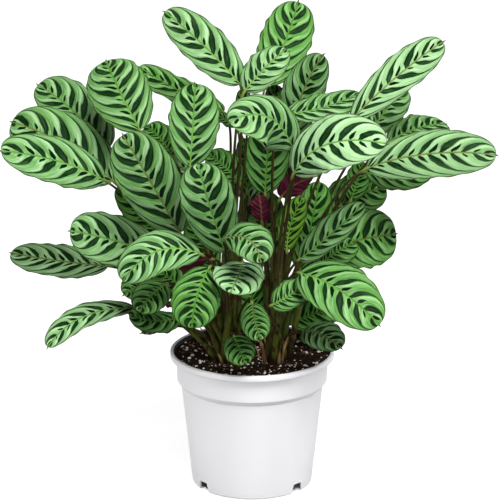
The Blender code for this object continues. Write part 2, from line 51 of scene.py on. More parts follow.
# Pot
POT_HEIGHT = 142.7 * MM
POT_STEPS = 144
POT_STEP = 6 * MM
POT_SHARP = math.radians(28)
RIM_RADIUS = 85.0 * MM
RIM_INNER = 81.0 * MM
RIM_ROUND = 2.0 * MM
# How much painted shade darkens the top of the rim, where the key lamp is brightest
RIM_PAINTED_SHADE = 0.12
LIP_LOW = POT_HEIGHT - 7.0 * MM
COLLAR_RADIUS = 78.6 * MM
COLLAR_LOW = POT_HEIGHT - 31.5 * MM
COLLAR_DRAFT = 1.0 * MM
STEP_LOW = POT_HEIGHT - 36.2 * MM
STEP_ROUND = 1.0 * MM
GROOVE = 0.35 * MM
BODY_RADIUS = 73.4 * MM
BASE_RADIUS = 62.4 * MM
FOOT_RADIUS = 60.0 * MM
FOOT_ROUND = 2.4 * MM
WALL = 1.7 * MM
FLOOR = 2.0 * MM
DRAIN_AZIMUTHS = (-143, -42, 90)
DRAIN_WIDTH = 16 * MM
DRAIN_TOP_WIDTH = 11 * MM
DRAIN_HEIGHT = 10.5 * MM
DRAIN_SILL = 14 * MM
DRAIN_DEPTH = 9 * MM

# Soil
GAP = 0.3 * MM
SOIL_TOP = POT_HEIGHT - 5.2 * MM
EDGE_DROP = 0.15 * MM
SOIL_RING = 1.8 * MM
SOIL_STEPS = 160
SOIL_SWELL = 2.2 * MM
SOIL_CRUMB = 1.5 * MM

# Stalks
CROWN_ACROSS = 24.0 * MM
CROWN_DEEP = 19.5 * MM
CROWN_RADIUS = 17.0 * MM
ROOT_SPREAD = 12.5 * MM
ROOT_DEPTH = 10.0 * MM
STALK_BASE = 2.5 * MM
STALK_END = 1.15 * MM
SHEATH_THICK = 1.1 * MM
JOINT_THICK = 0.35 * MM
JOINT_LENGTH = 11 * MM
STALK_STEPS = 30
STALK_SIDES = 10
STALK_MARGIN = 3.4 * MM
STALK_RISE = 10 * MM
STALK_LEAD = 24 * MM
STALK_LEAN = 0.18
STALK_POINT = 0.45
SHEATH_VARY = 0.18
STUBS_A_CROWN = 7
STUB_STEPS = 8

# Blades
BLADE_THICK = 0.6 * MM
BLADE_ROWS = 76
BLADE_COLUMNS = 33
HEEL_HALF = 1.4 * MM
EDGE_WAVES = 2.2
FINE_WAVES = 7.3
FINE_WAVE = 0.45 * MM
BUCKLE = 2.2 * MM
RELIEF = 1.1 * MM
RIB_HEIGHT = 0.8 * MM
RIB_HALF = 0.9 * MM
SCALLOP = 0.035
SPIKE_LENGTH = 4.0 * MM
SPIKE_HALF = 0.9 * MM
SPIKE_PART = 0.04
LOT_STEP = 0.618
BARS = 5.4
BARS_VARY = 1.2
VEINS_A_BAR = 8.0
SWEEP_NEAR = 0.20
SWEEP_FAR = 0.21
SWEEP_POWER = 5.0

# Each input of a blade's tree and its kind
BLADE_INPUTS = {
    "Heel": "Vector", "Pull": "Vector", "Tip": "Vector", "Faces": "Vector", "Turned": "Vector",
    "Wide": "Float", "Fold left": "Float", "Fold right": "Float", "Curl left": "Float",
    "Curl right": "Float", "Share left": "Float", "Share right": "Float", "Wave": "Float",
    "Tone": "Float", "Young": "Float", "Seed": "Float", "Top": "Material", "Under": "Material"}

# Colours, as linear red, green and blue
FIELD_PALE = (0.205, 0.395, 0.145)
FIELD_DEEP = (0.048, 0.155, 0.030)
FIELD_YELLOW = (0.11, 0.27, 0.045)
# Painted sheen: the pale colour of the band past each bar and of the streaks along the veins
FIELD_PAINTED_SHEEN = (0.40, 0.60, 0.345)
# Painted highlight: the pale colour laid over blades that catch the light
FIELD_PAINTED_HIGHLIGHT = (0.37, 0.56, 0.32)
BAR_DEEP = (0.001, 0.009, 0.001)
BAR_SOFT = (0.006, 0.030, 0.006)
BAR_PAINTED_SHEEN = (0.045, 0.10, 0.045)
RIB_LOW = (0.15, 0.31, 0.045)
RIB_HIGH = (0.09, 0.22, 0.04)
RIB_BROWN = (0.14, 0.13, 0.04)
MARGIN_BROWN = (0.028, 0.040, 0.014)
YOUNG_GREEN = (0.13, 0.30, 0.03)
WINE_DEEP = (0.075, 0.010, 0.024)
WINE_SOFT = (0.170, 0.030, 0.050)
WINE_RIB = (0.20, 0.10, 0.05)
SHEATH_OLIVE = (0.032, 0.049, 0.008)
SHEATH_YELLOW = (0.066, 0.080, 0.011)
SHEATH_BROWN = (0.028, 0.014, 0.006)
SHEATH_EARTH = (0.018, 0.011, 0.006)
UPPER_MAROON = (0.030, 0.013, 0.006)
UPPER_OLIVE = (0.035, 0.052, 0.009)
JOINT_GREEN = (0.17, 0.23, 0.05)
DEAD_TAN = (0.30, 0.19, 0.09)
DEAD_BROWN = (0.09, 0.045, 0.02)
POT_WHITE = (0.73, 0.73, 0.745)
POT_SHADE = (0.71, 0.71, 0.725)
POT_INNER = (0.035, 0.036, 0.038)
POT_INNER_SHADE = (0.022, 0.022, 0.024)
SOIL_BLACK = (0.005, 0.0035, 0.0025)
SOIL_BROWN = (0.030, 0.017, 0.009)
SOIL_FIBRE = (0.20, 0.11, 0.05)
PERLITE = ((0.70, 0.69, 0.64), (0.90, 0.89, 0.86))
FLOOR_WHITE = (0.3, 0.3, 0.3)
PLAIN_WHITE = (1.0, 1.0, 1.0)

# Lumps on the soil: name, number a square metre, seed, sizes, form, jaggedness, colours, roughness
CRUMBS = (
    ("soil_clods", 30000, 3, (1.6 * MM, 4.5 * MM), (1.0, 0.85, 0.7), 2.2 * MM,
     (SOIL_BLACK, (0.045, 0.026, 0.014)), 0.95),
    ("soil_perlite", 15000, 8, (0.9 * MM, 2.2 * MM), (1.0, 0.9, 0.8), 1.2 * MM, PERLITE, 0.8),
    ("soil_perlite_large", 5000, 21, (2.2 * MM, 4.4 * MM), (1.0, 0.8, 0.7), 1.8 * MM, PERLITE, 0.8),
    ("soil_bark", 7000, 14, (3.0 * MM, 7.0 * MM), (1.0, 0.35, 0.22), 1.6 * MM,
     ((0.08, 0.04, 0.016), (0.38, 0.21, 0.10)), 0.85))

# Stalk ends and dry sheaths
HEEL_REACH = 3.0 * MM
HEEL_SINK = 0.7 * MM
STUB_HEIGHTS = (12 * MM, 40 * MM)
STUB_SEED = 5
CROWNS = ((-1, -1), (-1, 1), (1, -1), (1, 1))

# Floor and light: each lamp's name, place, aim, size and power, and each pot lamp's place and power
FLOOR_REACH = 6.0
FLOOR_DROP = 0.2 * MM
FLOOR_GLOW = 0.9
ROOM_LIGHT = 0.25
LAMPS = (
    ("key", (0.45, -1.05, 2.15), (0.0, 0.0, 0.28), 1.3, 86.0),
    ("fill", (0.5, -2.8, 1.1), (0.0, 0.0, 0.30), 1.6, 22.0))
POT_LAMPS = (((-2.3, -0.9, 0.06), 165.0), ((2.3, -0.9, 0.06), 112.0), ((0.0, -2.45, 0.06), 14.0))
POT_LAMP_CONE = 7.0
POT_LAMP_SOFT = 0.3
POT_LAMP_SIZE = 0.12
POT_MIDDLE = (0.0, 0.0, 0.06)

# The plastic's roughness, and how much of the shader's specular light each other skin keeps
POT_ROUGHNESS = 0.5
BLADE_GLOSS = 0.035
STALK_GLOSS = 0.04
EARTH_GLOSS = 0.05

# The front view that the leaves' places are read in, which is the camera's: 3 m in front, 17 degrees down
FRAME_LONG_SIDE = 500
SENSOR = 36.0
VIEW_EYE = np.array((-0.0027, -3.0, 1.172))
VIEW_PITCH = math.radians(17.08)
VIEW_FOCAL = 3061.6
VIEW_CENTRE = (249.5, 250.0)
FORWARD = np.array((0.0, math.cos(VIEW_PITCH), -math.sin(VIEW_PITCH)))
UPWARD = np.array((0.0, math.sin(VIEW_PITCH), math.cos(VIEW_PITCH)))
RIGHT = np.array((1.0, 0.0, 0.0))

# The leaves of the far side: how far they swing sideways in degrees, and the way that they face
BACK_SWAY = 6
BACK_LEAN = 0.35
BACK_RISE = 0.93

leaves = []


def operator(operation, flipped=False):
    """A method that adds a Math node for a value and what it meets, the other way round where flipped."""
    def method(self, *other):
        return self.tree.maths(operation, *(other + (self,) if flipped else (self,) + other))

    return method


class Value:
    """An output socket of a node tree; arithmetic on it adds Math or Vector Math nodes."""

    __add__ = operator("ADD")
    __radd__ = operator("ADD", flipped=True)
    __sub__ = operator("SUBTRACT")
    __rsub__ = operator("SUBTRACT", flipped=True)
    __mul__ = operator("MULTIPLY")
    __rmul__ = operator("MULTIPLY", flipped=True)
    __truediv__ = operator("DIVIDE")
    __pow__ = operator("POWER")
    __abs__ = operator("ABSOLUTE")
    __gt__ = operator("GREATER_THAN")
    __lt__ = operator("LESS_THAN")

    def __init__(self, tree, socket):
        self.tree = tree
        self.socket = socket


class Tree:
    """A shader or geometry node tree that is written as Python."""

    def __init__(self, graph):
        self.graph = graph

    def feed(self, socket, given):
        """Give an input socket a link or a plain value."""
        if isinstance(given, Value):
            self.graph.links.new(given.socket, socket)
        elif socket.type == "VECTOR" and isinstance(given, (int, float)):
            socket.default_value = (given, given, given)
        elif socket.type == "RGBA":
            socket.default_value = (*given[:3], 1.0)
        else:
            socket.default_value = given

    def node(self, kind, sockets=None, out=0, **settings):
        """Add a node with its settings, then its sockets' values or links, and give one of its outputs."""
        made = self.graph.nodes.new(kind)
        for name, setting in settings.items():
            setattr(made, name, setting)
        for key, given in (sockets or {}).items():
            for one in given if isinstance(given, list) else [given]:
                self.feed(made.inputs[key], one)
        return Value(self, made.outputs[out]) if made.outputs else None

    def shape(self, kind, sockets=None, **settings):
        """Add a geometry node, whose kind is given without the words that all of them begin with."""
        return self.node("GeometryNode" + kind, sockets, **settings)

    def maths(self, operation, *given):
        """A Math node, or Vector Math where any of the values is a vector."""
        vector = any(isinstance(x, tuple) or isinstance(x, Value) and x.socket.type in ("VECTOR", "RGBA")
                     for x in given)
        kind = "ShaderNodeVectorMath" if vector else "ShaderNodeMath"
        return self.node(kind, dict(enumerate(given)), operation=operation)

    def rise(self, value, low, high):
        """0 below low and 1 above high, with a soft step between; falls instead where low is above high."""
        return self.node("ShaderNodeMapRange", {0: value, 1: low, 2: high}, interpolation_type="SMOOTHSTEP")

    def mix(self, share, low, high):
        """A blend of two colours."""
        return self.node("ShaderNodeMix", {0: share, 6: low, 7: high}, out=2, data_type="RGBA")

    def parts(self, vector):
        """A vector's X, Y and Z."""
        split = self.node("ShaderNodeSeparateXYZ", {0: vector})
        return [Value(self, socket) for socket in split.socket.node.outputs]

    def joined(self, x, y, z):
        """A vector of three values."""
        return self.node("ShaderNodeCombineXYZ", {0: x, 1: y, 2: z})

    def noise(self, vector, scale, detail=2.0, roughness=0.5, warp=0.0):
        """Smooth noise from 0 to 1."""
        return self.node("ShaderNodeTexNoise", {"Vector": vector, "Scale": scale, "Detail": detail,
                                                "Roughness": roughness, "Distortion": warp})

    def chance(self, value):
        """A random number from 0 to 1 that is the same wherever the value is."""
        return self.node("ShaderNodeTexWhiteNoise", {"W": value}, noise_dimensions="1D")

    def coats(self, face, *layers):
        """A colour under further coats, each of them its share and its colour."""
        for share, colour in layers:
            face = self.mix(share, face, colour)
        return face

    def place(self):
        """The shaded point in its object's own space."""
        return self.node("ShaderNodeTexCoord", out=3)

    def marked(self, name):
        """The three values of an attribute at the shaded point."""
        return self.parts(self.node("ShaderNodeAttribute", {}, out=1, attribute_name=name))

    def named(self, name, data_type="FLOAT_VECTOR"):
        """A geometry tree's field of a stored attribute."""
        return self.shape("InputNamedAttribute", {"Name": name}, data_type=data_type)

    def kept(self, geometry, name, value):
        """Geometry with a vector stored on its points."""
        return self.shape("StoreNamedAttribute", {"Geometry": geometry, "Name": name, "Value": value},
                          data_type="FLOAT_VECTOR")


def geometry_tree(name, inputs):
    """A new geometry node tree with named inputs, and the values of those inputs in their order."""
    graph = bpy.data.node_groups.new(name, "GeometryNodeTree")
    for label, kind in inputs.items():
        graph.interface.new_socket(label, in_out="INPUT", socket_type="NodeSocket" + kind)
    graph.interface.new_socket("Result", in_out="OUTPUT", socket_type="NodeSocketGeometry")
    tree = Tree(graph)
    entry = graph.nodes.new("NodeGroupInput")
    return tree, [Value(tree, entry.outputs[label]) for label in inputs]


def end_tree(tree, geometry, material):
    """End a geometry tree: smooth the shading, realize and give a material."""
    smooth = tree.shape("SetShadeSmooth", {"Geometry": geometry})
    real = tree.shape("RealizeInstances", {"Geometry": smooth})
    done = tree.shape("SetMaterial", {"Geometry": real, "Material": material})
    tree.node("NodeGroupOutput", {"Result": done})


def add_object(name, data):
    """Link a new object at the origin."""
    thing = bpy.data.objects.new(name, data)
    bpy.context.scene.collection.objects.link(thing)
    return thing


def add_made(name, work):
    """Link a new object with the mesh that was made in a bmesh."""
    mesh = bpy.data.meshes.new(name)
    work.to_mesh(mesh)
    work.free()
    return add_object(name, mesh)


def add_chain(work, points):
    """Add points joined by edges to a mesh in the making."""
    line = [work.verts.new(point) for point in points]
    for first, second in zip(line, line[1:]):
        work.edges.new((first, second))
    return line


def grow(thing, tree, values=()):
    """Put a geometry tree on an object and set its named inputs, if it has any but the object's mesh."""
    modifier = thing.modifiers.new("grow", "NODES")
    modifier.node_group = tree.graph
    for item in tree.graph.interface.items_tree:
        if item.in_out == "INPUT" and item.name in values:
            modifier[item.identifier] = values[item.name]
    return thing


def settle(things):
    """Turn objects into the plain meshes that their modifiers make."""
    bpy.context.view_layer.update()
    graph = bpy.context.evaluated_depsgraph_get()
    made = [bpy.data.meshes.new_from_object(thing.evaluated_get(graph)) for thing in things]
    for thing, mesh in zip(things, made):
        thing.modifiers.clear()
        thing.data = mesh
        mesh.name = thing.name


def seat(piece, slot, *nodes):
    """Let a piece ride on the plant's one body and stand for solids. The slot argument is not used."""
    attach(piece, "root")
    if nodes:
        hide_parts(*nodes)


def seen(place):
    """World point of a place: pixel across, pixel down, mm in front of the pot's axis."""
    across, down, near = place
    side = (across - VIEW_CENTRE[0]) / VIEW_FOCAL
    rise = (VIEW_CENTRE[1] - down) / VIEW_FOCAL
    ray = FORWARD + side * RIGHT + rise * UPWARD
    return VIEW_EYE + ray * (-near * MM - VIEW_EYE[1]) / ray[1]


def leaf(name, heel, bend, tip, wide, faces, turned=None, fold=(8, 8), curl=(-14, -14), share=(1, 1),
         wave=1.6, via=None, tone=0.0, fused=False, found=seen):
    """Add a leaf by three places on its midrib, its width in mm and the way that its upper face looks.

    turned is that way at the tip. fold and curl are the left and the right half's angles in degrees, share
    is each half's part of the full half width, and via is a place that the stalk bends towards. A fused
    leaf's solid is part of its bunch of stalks. found turns a place into a world point.
    """
    leaves.append({
        "name": name, "heel": found(heel), "bend": found(bend), "tip": found(tip), "wide": wide * MM,
        "faces": np.array(faces, float), "turned": np.array(faces if turned is None else turned, float),
        "fold": np.radians(fold), "curl": np.radians(curl), "share": share, "wave": wave * MM,
        "via": None if via is None else found(via), "tone": tone, "fused": fused})


def inner_leaf(name, heel, bend, tip, wide, tone=0.0, faces=(0, -.9, .4)):
    """Add a small or shaded leaf of the clump's inside, whose solid is part of its bunch of stalks."""
    leaf(name, heel, bend, tip, wide, faces, tone=tone, fused=True)


def back_leaf(name, azimuth, heel, bend, tip, wide):
    """Add a leaf behind the pot's axis: places are (reach, height) in mm, azimuth 90 is straight back."""
    heading = math.radians(azimuth)

    def behind(place):
        reach, height, swing = place
        way = heading + math.radians(swing)
        return np.array((reach * math.cos(way), reach * math.sin(way), height)) * MM

    upper = (-BACK_LEAN * math.cos(heading), -BACK_LEAN * math.sin(heading), BACK_RISE)
    leaf(name, (*heel, -BACK_SWAY), (*bend, 0), (*tip, BACK_SWAY), wide, upper, found=behind)


def list_leaves():
    """The plant's leaves: those of the front as the front view shows them, those of the back by compass.

    Each has its name, the places of its heel, bend and tip, its width and the way that it faces. Where
    given, tone is partly the leaf's own paleness and partly painted light and shade: below zero it darkens
    leaves that lie in shade, above zero it brightens leaves that catch the light.
    """
    # The top of the plant.
    leaf("top_left", (240, 84, 0), (206, 48, -16), (165, 12, -34), 44, (.1, -.93, .35), share=(.95, 1.05),
         tone=.15)
    leaf("top_back", (266, 84, -64), (285, 42, -94), (298, 2, -118), 53, (0, -.95, .25), tone=-.35)
    leaf("top_front", (245, 91, 24), (263, 70, 16), (286, 49, 0), 38, (-.3, -.85, .4), tone=.15)
    leaf("top_right", (293, 139, -55), (301, 97, -52), (323, 55, -50), 44, (-.15, -.95, .2), fold=(22, 12))
    leaf("right_high", (352, 119, 8), (400, 74, -6), (443, 42, -20), 39, (-.1, -.9, .4), tone=.4)
    leaf("right_high_back", (366, 136, -56), (387, 109, -80), (404, 87, -110), 38, (.1, -.9, .4))
    leaf("right_upper", (287, 113, 0), (322, 108, -12), (360, 93, -40), 41, (-.15, -.42, .9), fold=(15, 5))
    # The upper middle.
    leaf("centre_top", (293, 149, 55), (268, 117, 78), (229, 122, 98), 58, (-.1, -.8, .6),
         turned=(-.1, -.8, .6), curl=(-10, -18), share=(1.15, .8), tone=.15)
    leaf("left_high", (140, 130, 30), (119, 90, -12), (106, 61, -48), 63, (-.1, -.75, .6), curl=(-24, -24),
         tone=-.05)
    leaf("left_high_back", (223, 112, -66), (181, 92, -92), (139, 67, -108), 43, (.25, -.45, .85), tone=-.3)
    leaf("centre_left", (190, 166, 48), (193, 124, 26), (195, 84, -12), 50, (0, -.9, .35), fold=(12, 12),
         curl=(-22, -22), share=(1, 1.07), tone=-.12)
    leaf("left_upper_back", (107, 149, -40), (74, 112, -72), (38, 85, -102), 58, (.1, -.8, .6),
         share=(.85, 1.05))
    leaf("left_mid_back", (113, 181, 4), (65, 145, -16), (12, 122, -44), 66, (.1, -.85, .5))
    leaf("left_mid_front", (104, 180, 36), (57, 161, 56), (1, 151, 84), 51, (0, -.8, .6), tone=.08)
    leaf("left_big", (180, 233, 60), (150, 181, 78), (123, 135, 70), 62, (-.1, -.93, .35))
    leaf("centre_big", (225, 252, 86), (209, 204, 108), (198, 164, 104), 54, (0, -.95, .3))
    leaf("centre_back_small", (239, 182, -22), (225, 167, -30), (208, 154, -36), 36, (.1, -.7, .7),
         tone=-.5)
    leaf("centre_back", (265, 193, -24), (267, 158, -32), (270, 120, -46), 47, (0, -.95, .3), fold=(15, 15),
         tone=-.35)
    leaf("purple_back", (281, 197, 0), (296, 184, 4), (313, 178, 2), 30, (.2, .75, .6), tone=-.2)
    leaf("purple_small", (262, 222, -8), (261, 209, -4), (259, 195, -6), 24, (.3, .8, .5), tone=-.3)
    # The right side.
    leaf("right_front", (294, 173, 68), (329, 144, 92), (386, 144, 112), 58, (-.25, -.75, .6),
         turned=(0, -.85, .5), tone=.62)
    leaf("right_long", (368, 168, 22), (428, 154, 34), (496, 155, 40), 50, (0, -.85, .5), fold=(8, 2),
         tone=.3)
    leaf("right_under", (366, 172, 2), (396, 177, -14), (431, 171, -34), 31, (0, -.8, .6), tone=-.3)
    leaf("right_back_small", (389, 141, -26), (419, 128, -50), (446, 124, -80), 40, (0, -.55, .85),
         tone=-.1)
    leaf("right_mid_dark", (319, 222, -37), (350, 199, -53), (386, 188, -76), 48, (0, -.85, .5), tone=-.35)
    leaf("right_rolled", (300, 259, 52), (329, 236, 62), (364, 204, 58), 38, (-.3, -.75, .6), fold=(30, 20),
         share=(.9, .9))
    leaf("right_round", (330, 247, 12), (364, 239, -4), (396, 234, -32), 61, (0, -.95, .3), tone=-.3)
    leaf("right_inner", (316, 268, 30), (335, 253, 30), (355, 242, 16), 34, (0, -.7, .7), tone=-.35)
    leaf("right_low_front", (300, 273, 74), (339, 290, 108), (379, 325, 126), 61, (.2, -.8, .6), tone=-.2)
    leaf("right_low_back", (272, 305, 84), (290, 295, 82), (312, 281, 66), 32, (-.2, -.8, .6), tone=-.25)
    leaf("low_right_small", (303, 331, 40), (320, 334, 68), (341, 348, 92), 36, (.1, -.8, .6), tone=.1)
    # The small leaves low in the middle.
    leaf("low_centre_small", (234, 336, 56), (239, 349, 80), (246, 364, 98), 32, (0, -.85, .5), tone=-.3)
    leaf("low_centre_upper", (252, 303, 70), (255, 321, 92), (261, 340, 106), 30, (0, -.85, .5), tone=-.3)
    leaf("centre_crumpled", (243, 262, 90), (239, 275, 124), (230, 293, 148), 52, (0, -.6, .8), wave=3,
         tone=.45)
    leaf("centre_small_light", (226, 238, 116), (249, 240, 136), (261, 263, 150), 42, (.1, -.75, .65),
         via=(224, 270, 96))
    # The left side.
    leaf("left_folded", (200, 254, 96), (158, 251, 116), (123, 281, 128), 48, (0, -.75, .65), fold=(5, 5),
         curl=(-10, -24), tone=.1)
    leaf("left_mid", (166, 257, 34), (112, 240, 54), (70, 231, 70), 52, (0, -.9, .45), tone=.12)
    leaf("left_low", (108, 266, 15), (60, 261, -6), (11, 253, -34), 38, (0, -.75, .65), tone=.35)
    leaf("left_curly", (135, 308, 28), (83, 317, 56), (48, 347, 78), 33, (.1, -.8, .6), fold=(25, 5),
         curl=(10, -50), tone=.35)
    leaf("left_inner", (166, 284, 60), (152, 295, 82), (139, 312, 98), 36, (0, -.8, .6), tone=-.25)
    leaf("left_inner_back", (158, 282, 36), (140, 286, 46), (124, 295, 56), 30, (0, -.8, .6), tone=-.3)
    leaf("left_under", (180, 317, 44), (154, 321, 62), (129, 314, 74), 33, (0, -.6, .8), tone=-.3)
    leaf("front_hanging", (209, 268, 98), (197, 296, 128), (192, 328, 140), 50, (-.1, -.9, .4), tone=-.4)
    leaf("young_upright", (287, 250, 26), (291, 224, 22), (303, 197, 16), 26, (0, -.95, .3), tone=.1)
    leaf("dark_left_high", (172, 156, -20), (160, 138, -36), (146, 126, -54), 32, (0, -.75, .65), tone=-.5)
    leaf("dark_left_under", (160, 236, -26), (141, 213, -42), (118, 186, -58), 34, (-.45, -.75, .5),
         tone=-.6)
    # The back, which the front view doesn't show.
    back_leaf("back_right_middle", 26, (80, 250), (120, 266), (156, 244), 46)
    back_leaf("back_right_upper", 60, (66, 296), (116, 326), (170, 310), 52)
    back_leaf("back_right_low", 52, (84, 196), (136, 212), (186, 176), 48)
    back_leaf("back_centre_upper", 98, (62, 284), (112, 306), (166, 282), 50)
    back_leaf("back_centre_low", 88, (72, 210), (126, 230), (182, 202), 48)
    back_leaf("back_left_upper", 134, (70, 290), (122, 318), (176, 292), 52)
    back_leaf("back_left_middle", 158, (78, 232), (130, 252), (182, 226), 50)
    back_leaf("back_left_low", 122, (80, 192), (132, 204), (180, 168), 46)
    # Shaded leaves inside the clump, and one small new leaf low on the left.
    inner_leaf("inner_right", (300, 270, 6), (311, 226, -8), (319, 182, -22), 40, tone=-.5)
    inner_leaf("inner_right_low", (290, 324, -18), (314, 314, -26), (341, 304, -34), 38, tone=-.6,
               faces=(0, -.8, .6))
    inner_leaf("inner_centre", (257, 318, -30), (252, 296, -38), (247, 272, -46), 34, tone=-.6)
    inner_leaf("inner_centre_high", (270, 262, -58), (264, 228, -70), (259, 190, -82), 54, tone=-.6)
    inner_leaf("inner_left", (196, 300, 4), (178, 284, -6), (157, 270, -16), 34, tone=-.5,
               faces=(0, -.85, .5))
    inner_leaf("inner_left_high", (216, 266, -18), (203, 245, -25), (190, 222, -32), 32, tone=-.6)
    inner_leaf("purple_left", (211, 259, 50), (194, 261, 54), (176, 268, 52), 26, tone=-.2,
               faces=(.1, .75, .6))
    inner_leaf("left_tiny", (172, 326, 52), (158, 328, 62), (142, 333, 70), 11, faces=(0, -.7, .7))
    inner_leaf("inner_top", (247, 190, -44), (245, 164, -48), (243, 138, -54), 19, tone=-.4)
    inner_leaf("inner_high", (284, 142, -62), (279, 114, -74), (273, 85, -88), 28, tone=-.4)
    inner_leaf("centre_tiny", (236, 127, -50), (227, 120, -54), (217, 115, -58), 14, tone=-.4,
               faces=(0, -.7, .7))
    inner_leaf("inner_front_high", (247, 122, -16), (245, 107, -20), (242, 89, -26), 18, tone=-.4)
    inner_leaf("purple_low", (182, 308, 18), (173, 305, 22), (164, 303, 24), 14, tone=-.2,
               faces=(.1, .75, .6))
    inner_leaf("inner_right_top", (351, 200, -34), (357, 182, -42), (363, 162, -52), 26, tone=-.5)


def quarter(one):
    """The quarter of the pot that a leaf's stalk grows in: -1 or 1 across, -1 or 1 from front to back."""
    return (1 if one["heel"][0] > 0 else -1, 1 if one["heel"][1] > 0 else -1)


def lot_of(number):
    """A leaf's lot from 0 to 1, which sets how it and its stalk vary."""
    return (number * LOT_STEP) % 1.0


def pulled(one):
    """The middle control point that takes a leaf's midrib through its bend."""
    return 2 * one["bend"] - (one["heel"] + one["tip"]) / 2


def stalk_points(one, number):
    """Points along a leaf's stalk, from inside its crown into the underside of the blade's heel."""
    across, depth = quarter(one)
    turn = number * math.pi * (3 - math.sqrt(5))
    spread = ROOT_SPREAD * math.sqrt((number * GOLDEN) % 1.0)
    root = np.array((across * CROWN_ACROSS + spread * math.cos(turn),
                     depth * CROWN_DEEP + spread * math.sin(turn), SOIL_TOP - ROOT_DEPTH))
    heel = one["heel"]
    along = pulled(one) - heel
    along = along / np.linalg.norm(along)
    low = root + (heel - root) * (STALK_LEAN, STALK_LEAN, 0.5) + (0.0, 0.0, STALK_RISE)
    high = heel - along * STALK_LEAD if one["via"] is None else one["via"].copy()
    for hold in (low, high):
        hold[0] = across * max(across * hold[0], STALK_MARGIN)
        hold[1] = depth * max(depth * hold[1], STALK_MARGIN)
    t = np.linspace(0, 1, STALK_STEPS + 1)[:, None]
    line = (1 - t) ** 3 * root + 3 * (1 - t) ** 2 * t * low + 3 * (1 - t) * t * t * high + t ** 3 * heel
    side = np.cross(along, one["faces"])
    under = -np.cross(side / np.linalg.norm(side), along)
    return np.vstack((line, heel + along * HEEL_REACH + under * HEEL_SINK))


class Skin(Tree):
    """The node tree of a new material."""

    def __init__(self, name, roughness, gloss=0.5):
        self.material = bpy.data.materials.new(name)
        self.material.use_nodes = True
        super().__init__(self.material.node_tree)
        self.wear("Roughness", roughness)
        self.wear("Specular IOR Level", gloss)

    def wear(self, label, given):
        """Give one of the shader's inputs a link or a plain value."""
        self.feed(self.graph.nodes["Principled BSDF"].inputs[label], given)

    def bump(self, height, distance):
        """Drive the shader's normal by a height from 0 to 1 and the distance that it stands for."""
        self.wear("Normal", self.node("ShaderNodeBump", {"Distance": distance, "Height": height}))


def bar_count(out, u, right, seed):
    """How many bars lie between a blade's heel and a point of it, counted along their sweep."""
    sweep = SWEEP_NEAR * out + SWEEP_FAR * out ** SWEEP_POWER
    return (BARS + BARS_VARY * (seed - 0.5)) * (u - sweep) + 0.5 * right + seed


class BladeSkin(Skin):
    """The material of a blade's side, which reads the blade's coordinates, its bars and how they vary."""

    def __init__(self, name, roughness):
        super().__init__(name, roughness, BLADE_GLOSS)
        self.across, self.u, self.half = self.marked("place")
        self.tone, self.seed, self.young = self.marked("mood")
        self.out = abs(self.across)
        self.right = self.across > 0.0
        self.from_rib = abs(self.across * self.half)
        wander = self.noise(self.joined(self.across * 1.6, self.u * 4.0, self.seed * 9.0), 1.0)
        self.count = bar_count(self.out, self.u, self.right, self.seed) + 0.34 * (wander - 0.5)

    def fibres(self, fine, outward, shift, detail=2.0, roughness=0.5):
        """Noise that is drawn out along the side veins."""
        spot = self.joined(self.count * fine, self.out * outward, self.seed * shift)
        return self.noise(spot, 1.0, detail, roughness)

    def raise_veins(self, streaks, height, depth, distance):
        """Raise the side veins and streaks with a bump."""
        veins = self.maths("SINE", self.count * TURN * VEINS_A_BAR) * self.rise(self.out, 0.03, 0.15)
        self.bump(0.5 + height * veins + depth * streaks, distance)


def bar_mask(tree):
    """Where a blade is dark green: long lens-shaped bars with thin tails and short spots between them."""
    out = tree.out
    whole = tree.maths("FLOOR", tree.count)
    part = tree.count - whole
    lot = tree.chance(whole * 3.7 + tree.right * 11.3 + tree.seed * 41.0)
    lens = tree.rise(out, -0.07, 0.34) * tree.rise(out, 0.76 + 0.32 * lot, 0.24)
    thick = (0.10 + 0.11 * lot) * lens + 0.07 * tree.rise(out, 1.0, 0.88)
    ragged = 0.05 * (tree.fibres(7.0, 5.0, 1.0, 3.0) - 0.5)
    from_bar = abs(part - 0.5) + ragged
    soft = 0.02 + 0.04 * out
    long_bar = tree.rise(from_bar, thick + soft, thick - soft)
    between = tree.maths("ROUND", tree.count)
    spare = tree.chance(between * 5.3 + tree.right * 7.9 + tree.seed * 23.0)
    short = (0.07 + 0.075 * spare) * tree.rise(out, 0.0, 0.12) * tree.rise(out, 0.26 + 0.24 * spare, 0.14)
    spot = tree.rise(abs(tree.count - between) + ragged, short + 0.025, short - 0.015)
    spot = spot * (short > 0.016)
    inner = tree.rise(from_bar, 0.9 * thick, 0.2 * thick)
    return tree.maths("MAXIMUM", long_bar, spot), part, thick, inner


